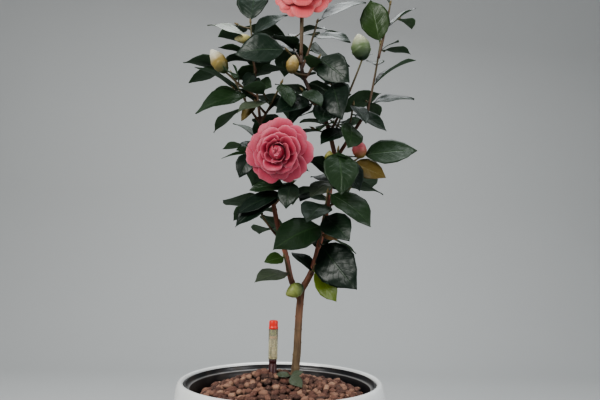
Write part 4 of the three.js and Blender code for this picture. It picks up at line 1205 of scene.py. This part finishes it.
flower_buds = {}
for _, shoots in MASSES.values():
    for _, end, _, _, bud in shoots:
        if bud:
            radius, length, points = BUDS[bud]
            made = bud_points(end, BUD_GIRTH * radius, CLOSED_BUDS.get(bud, 1) * length, points)
            flower_buds.setdefault(bud, []).append(made)
for kind, made in flower_buds.items():
    base, middle, tip = BUD_COLOURS[kind]
    scales, place = new_finish(f"bud_scales_{kind}")
    risen, edge = carried(scales, "risen"), carried(scales, "edge")
    colour = blend_colours(scales, spread(scales, risen, 0.05, 0.5), base, middle)
    colour = blend_colours(scales, spread(scales, risen, 0.5, 0.85), colour, tip)
    colour = blend_colours(scales, spread(scales, edge, 0.86, 1.0, 0.0, 0.45), colour, SCALE_EDGE)
    fibres = grain(scales, place, 600, 2.0, (1, 1, 0.2))
    set_surface(scales, {
        "Base Color": colour,
        "Roughness": spread(scales, fibres, 0.3, 0.7, 0.45, 0.6),
        "Normal": relief(scales, fibres, 0.3, 0.0003),
    })
    rises = np.concatenate([[0], np.linspace(0, 1, BUD_ROWS), [1]])
    edges = [np.concatenate([tier[:1], tier, tier[-1:]]) for _, tier in made]
    quads, places = ring_quads(BUD_ROWS + 2, BUD_COLUMNS, len(made))
    add_piece(f"flower_buds_{kind}", [points for points, _ in made], quads, scales, places,
              {"risen": np.tile(np.repeat(rises, BUD_COLUMNS), len(made)), "edge": edges})


def spindle_points(start, end):
    """A pointed bud on the end of a twig, its radius a raised sine that is widest a quarter of the way
    along."""
    along = unit(np.array(end, float) - twig_points(start, end, 0.8))
    t = np.linspace(0, 1, LEAF_BUD_ROWS)
    path = np.array(end, float) + along * (LEAF_BUD_LENGTH * t[:, None] - LEAF_BUD_SUNK)
    radius = LEAF_BUD_RADIUS * np.sin(math.pi * (0.15 + 0.85 * t) ** 0.7) ** 0.8 + 0.02
    return tube_points(path, radius, LEAF_BUD_COLUMNS, np.array([0.3, 0.2, 1]))


leaf_bud, place = new_finish("leaf_bud_scales")
set_surface(leaf_bud, {
    "Base Color": blend_colours(leaf_bud, grain(leaf_bud, place, 350),
                                (0.11, 0.12, 0.04), (0.16, 0.08, 0.038)),
    "Roughness": spread(leaf_bud, grain(leaf_bud, place, 500), 0.3, 0.7, 0.4, 0.6),
})
bare_ends = [(start, end) for _, shoots in MASSES.values() for start, end, _, _, bud in shoots if not bud]
skins = [spindle_points(start, end) for start, end in bare_ends + fine_twigs]
quads, _ = ring_quads(LEAF_BUD_ROWS + 2, LEAF_BUD_COLUMNS, len(skins))
add_piece("leaf_buds", skins, quads, leaf_bud)

# Blooms
# Double flowers about 10 cm across. Broad petals follow one another in a spiral, each inside the last:
# the outer ones spread flat and curl back, the inner ones wrap round a closed heart. Small brownish
# green sepals hold the petals together at the back.

OUTER_PETALS = 10
WRAPPED_PETALS = 25
HEART_PETALS = 9
PETAL_ROWS = 14
PETAL_COLUMNS = 24
PETAL_THICK = 0.45
SEPAL_THICK = 0.6
PETAL_WAVES = (0.4, 1.0)
PETAL_NOTCHES = (0.02, 0.07)
BEARING_STRAY = 0.18


def petal_points(bloom, bearings, tips, feet, bulge, spans, curls, thick, draw):
    """Petal skins round a bloom's axis. Along a petal the distance from the axis and the height follow a
    quadratic curve from its foot to its tip that bulges; across it the petal spans an angle to each side
    of its bearing. The far edge is round with a notch and curls back, one side edge rides over the next
    petal, and the rim waves."""
    _, heart, looks, radius = bloom
    out, level, third = bloom_frame(looks)
    origin = np.array(heart) - BLOOM_DEPTH * radius * out
    u = np.sin(math.pi / 2 * np.linspace(0, 1, PETAL_ROWS)) ** 1.1
    u = np.concatenate([[0], u])[:, None]
    w = np.linspace(0, TURN, PETAL_COLUMNS, endpoint=False)
    v, lens = np.cos(w), np.sin(w)
    least, most = zip(PETAL_WAVES, (0, TURN), PETAL_NOTCHES)
    wave, phase, notch = draw.uniform(least, most, (len(bearings), 3)).T[:, :, None, None]
    bearings, spans, curls = (values[:, None, None] for values in (bearings, spans, curls))
    t = u * (1 - (0.24 * np.abs(v) ** 2.6 + notch * np.exp(-(v / 0.2) ** 2)) * u * u)
    first, middle, last = (ends.T[:, :, None, None] for ends in (feet, (tips + feet) / 2 + bulge, tips))
    curve = first * (1 - t) ** 2 + 2 * middle * t * (1 - t) + last * t * t
    slope = 2 * (1 - t) * (middle - first) + 2 * t * (last - middle)
    steep = np.hypot(*slope) + 1e-9
    broad = 1 - 0.22 * u ** 5
    closed = np.sqrt(np.clip(1 - u ** 8, 0, 1)) * (np.arange(PETAL_ROWS + 1)[:, None] > 0)
    rim = 0.020 * wave * np.sin(5 * v + phase) * u ** 3 + 0.030 * v * u
    cup = 0.05 * v * v * u * (1 - u)
    lift = lens * thick * closed + radius * (rim + cup - curls * u ** 6)
    away = curve[0] - slope[1] / steep * lift
    high = curve[1] + slope[0] / steep * lift
    angle = bearings + v * broad * spans
    return (origin + level * (away * np.cos(angle))[..., None] + third * (away * np.sin(angle))[..., None]
            + out * high[..., None])


def petal_finish(name, deep, full, pale):
    """Petal colour: deep at the foot, partly the petal's own deeper colour and partly shading painted in
    where the petals overlap, full over the blade, and pale at the rim, partly a lighter edge and partly a
    painted highlight where light catches the rolled rim, with fine veins that fan out along the petal, and
    a soft sheen on the surface."""
    material, _ = new_finish(name)
    tone = carried(material, "tone")
    across, along, off = skin_places(material)
    side = reckon(material, "POWER", reckon(material, "MULTIPLY", off, 2.0), 5.0)
    rim = reckon(material, "MAXIMUM", reckon(material, "POWER", along, 4.0), side)
    veins = add_node(material, "CombineXYZ", {"X": reckon(material, "MULTIPLY", across, 34.0),
                                              "Y": reckon(material, "MULTIPLY", along, 2.0), "Z": tone})
    threads = grain(material, veins.outputs["Vector"], 1.0, 3.0)
    # Deep toward the foot: the petal's own deeper colour, together with painted shade where the petals
    # overlap.
    colour = blend_colours(material, spread(material, along, 0.25, 0.75), deep, full)
    colour = blend_colours(material, spread(material, threads, 0.35, 0.75, 0.0, 0.35), colour, deep)
    # Pale toward the rim: partly the petal's own lighter edge, partly a painted highlight where light
    # catches the rolled rim.
    pale_edge_and_highlight = reckon(material, "MULTIPLY", spread(material, rim, 0.05, 1.0),
                   reckon(material, "ADD", reckon(material, "MULTIPLY", tone, 0.35), 0.35))
    colour = blend_colours(material, pale_edge_and_highlight, colour, pale)
    set_surface(material, {
        "Base Color": colour,
        "Roughness": spread(material, threads, 0.3, 0.7, 0.45, 0.62),
        "Sheen Weight": 0.25,
        "Sheen Roughness": 0.5,
        "Subsurface Weight": 0.15,
        "Subsurface Scale": 0.004,
        "Normal": relief(material, threads, 0.25, 0.0004),
    })
    return material


def add_petals(name, bloom, finish, first, draw):
    """All petals of a bloom in one piece. The outer ones spread flat at nearly equal steps round it; the
    next follow by the golden angle, draw in along a dome and lean in more and more; the last wrap round
    one another as a closed bud that stands a little out of the middle."""
    radius = bloom[3]
    outer = np.arange(OUTER_PETALS) / OUTER_PETALS
    inner = np.arange(WRAPPED_PETALS) / (WRAPPED_PETALS - 1)
    heart = np.arange(HEART_PETALS) / (HEART_PETALS - 1)
    count = OUTER_PETALS + WRAPPED_PETALS + HEART_PETALS
    bearings = np.concatenate([
        first + TURN * (3 * np.arange(OUTER_PETALS) % OUTER_PETALS) / OUTER_PETALS,
        first + math.radians(GOLDEN_ANGLE) * np.arange(WRAPPED_PETALS + HEART_PETALS),
    ]) + draw.normal(0, BEARING_STRAY, count)
    uneven = np.concatenate([0.03 + 0 * outer, 0.04 + 0.06 * inner, 0.04 + 0 * heart])
    tips = np.concatenate([
        np.stack([0.98 - 0.07 * outer, 0.02 + 0.10 * outer], -1),
        np.stack([0.90 - 0.70 * inner ** 0.9, 0.13 + 0.40 * np.sin(math.pi / 2 * inner) ** 0.9], -1),
        np.stack([-0.06 - 0.10 * heart, 0.58 + 0.04 * heart], -1),
    ]) * radius * (1 + uneven[:, None] * draw.normal(0, 1, (count, 1)))
    feet = np.concatenate([
        np.stack([0.03 + 0 * outer, 0 * outer], -1),
        np.stack([0.03 + 0 * inner, 0.04 + 0.12 * inner], -1),
        np.stack([0.02 + 0 * heart, 0.18 + 0.04 * heart], -1),
    ]) * radius
    bulge = np.concatenate([
        np.stack([0 * outer, 0.20 + 0 * outer], -1),
        np.stack([0.02 + 0.18 * inner, 0.20 - 0.16 * inner], -1),
        np.stack([0.48 - 0.26 * heart, 0.06 + 0 * heart], -1),
    ]) * radius
    spans = np.concatenate([0.62 - 0.02 * outer, 0.60 + 0.34 * inner ** 1.5, 1.45 - 0.15 * heart])
    curls = np.concatenate([0.05 + 0 * outer, 0.08 - 0.05 * inner, 0 * heart])
    points = petal_points(bloom, bearings, tips, feet, bulge, spans, curls, PETAL_THICK, draw)
    quads, places = ring_quads(PETAL_ROWS + 1, PETAL_COLUMNS, count)
    across_shares(places)
    tones = np.repeat(draw.uniform(0, 1, count), (PETAL_ROWS + 1) * PETAL_COLUMNS)
    petals = add_piece(f"{name}_petals", points, quads, finish, places, {"tone": tones})
    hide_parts(name)


draw = np.random.default_rng(31)
# Each finish's deep colour is partly painted shade, and its pale colour partly painted highlight.
rose = petal_finish("rose_petal", (0.24, 0.005, 0.025), (0.44, 0.027, 0.068), (0.84, 0.30, 0.38))
salmon = petal_finish("salmon_petal", (0.40, 0.022, 0.032), (0.68, 0.088, 0.10), (0.88, 0.34, 0.33))
add_petals("bloom_front", BLOOMS["bloom_front"], rose, 0.05, draw)
add_petals("bloom_top", BLOOMS["bloom_top"], salmon, 0.45, draw)

SEPALS = 8
sepal, place = new_finish("sepal")
set_surface(sepal, {
    "Base Color": blend_colours(sepal, grain(sepal, place, 160), (0.09, 0.13, 0.04), (0.20, 0.11, 0.06)),
    "Roughness": spread(sepal, grain(sepal, place, 300), 0.3, 0.7, 0.45, 0.65),
    "Normal": relief(sepal, grain(sepal, place, 500), 0.3, 0.0004),
})
for name, bloom in BLOOMS.items():
    radius = bloom[3]
    s = np.arange(SEPALS) / (SEPALS - 1)
    points = petal_points(
        bloom, np.arange(SEPALS) * math.radians(GOLDEN_ANGLE),
        np.stack([0.40 - 0.12 * s, 0.10 - 0.06 * s], -1) * radius,
        np.stack([0.03 + 0 * s, -0.07 + 0.02 * s], -1) * radius,
        np.stack([0.02 + 0 * s, -0.07 + 0 * s], -1) * radius,
        np.full(SEPALS, 0.5), np.zeros(SEPALS), SEPAL_THICK, draw)
    quads, places = ring_quads(PETAL_ROWS + 1, PETAL_COLUMNS, SEPALS)
    add_piece(f"{name}_sepals", points, quads, sepal, places)

# Studio
# A plain pale sweep of paper that is floor and backdrop in one and bends up behind the plant. Three square
# soft lights stand at the left, above and at the right, the left one the brightest.

SWEEP_PALE = (0.48, 0.49, 0.485)
SWEEP_SHADED = (0.4656, 0.4753, 0.47045)
SKY_COLOUR = (0.90, 0.94, 1.0, 1)
SKY_STRENGTH = 0.28
PLANT_MIDDLE = (0, 0, 0.5)


def sweep_points():
    """A sheet that lies on the floor, bends up behind in a quarter circle and stands."""
    bend = np.linspace(0, math.pi / 2, 16)
    y = np.concatenate([[-4.0], 1.4 + 0.8 * np.sin(bend), [2.2]])
    z = np.concatenate([[0], 0.8 - 0.8 * np.cos(bend), [4.5]])
    x = np.linspace(-5, 5, 3)
    return np.stack([np.broadcast_to(x, (len(y), 3)), np.broadcast_to(y[:, None], (len(y), 3)),
                     np.broadcast_to(z[:, None], (len(y), 3))], -1)


paper, place = new_finish("paper")
set_surface(paper, {
    "Base Color": blend_colours(paper, grain(paper, place, 3), SWEEP_PALE, SWEEP_SHADED),
    "Roughness": 0.9,
})
points = sweep_points()
row, column = np.meshgrid(np.arange(len(points) - 1), np.arange(2), indexing="ij")
corner = row * 3 + column
mesh = bpy.data.meshes.new("sweep")
mesh.from_pydata(points.reshape(-1, 3).tolist(), [],
                 np.stack([corner, corner + 1, corner + 4, corner + 3], -1).reshape(-1, 4).tolist())
mesh.shade_smooth()
mesh.materials.append(paper)
sweep = bpy.data.objects.new("sweep", mesh)
scene.collection.objects.link(sweep)
sweep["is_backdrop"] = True


def add_softbox(name, place, size, power, colour):
    """A square soft light that faces the middle of the plant."""
    light = bpy.data.lights.new(name, "AREA")
    light.energy, light.size, light.color = power, size, colour
    box = bpy.data.objects.new(name, light)
    box.location = place
    box.rotation_euler = (mathutils.Vector(PLANT_MIDDLE) - box.location).to_track_quat("-Z", "Y").to_euler()
    scene.collection.objects.link(box)


add_softbox("light_left", (-1.3, -1.5, 1.7), 1.2, 50, (1.0, 0.98, 0.95))
add_softbox("light_above", (0.2, 0.4, 2.2), 1.6, 30, (0.95, 0.98, 1.0))
add_softbox("light_right", (1.7, -0.9, 0.9), 1.0, 16, (1.0, 1.0, 1.0))
world = bpy.data.worlds.new("studio")
world.use_nodes = True
sky = world.node_tree.nodes["Background"].inputs
sky["Color"].default_value = SKY_COLOUR
sky["Strength"].default_value = SKY_STRENGTH
scene.world = world

# Camera
# It stands in front of the plant, some way above the pot's rim, and is tipped up toward the crown and
# rolled by under a degree. Its lens and sensor are in millimetres.

CAMERA_PLACE = (0.0227, -0.771, 0.413)
CAMERA_TIP = math.radians(6.81)
CAMERA_ROLL = math.radians(0.9)
LENS = 33
SENSOR = 36
forward = np.array([0, math.cos(CAMERA_TIP), math.sin(CAMERA_TIP)])
upright = np.array([0, -math.sin(CAMERA_TIP), math.cos(CAMERA_TIP)])
level = np.array([1, 0, 0])
right = level * math.cos(CAMERA_ROLL) + upright * math.sin(CAMERA_ROLL)
upward = upright * math.cos(CAMERA_ROLL) - level * math.sin(CAMERA_ROLL)
camera_data = bpy.data.cameras.new("camera")
camera_data.lens, camera_data.sensor_width = LENS, SENSOR
camera = bpy.data.objects.new("camera", camera_data)
turned = mathutils.Matrix(np.stack([right, upward, -forward], -1).tolist()).to_4x4()
camera.matrix_world = mathutils.Matrix.Translation(CAMERA_PLACE) @ turned
scene.collection.objects.link(camera)
scene.camera = camera
scene.view_settings.view_transform = "AgX"
scene.view_settings.look = "AgX - Medium High Contrast"

# Sizes of the finished plant

low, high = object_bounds()
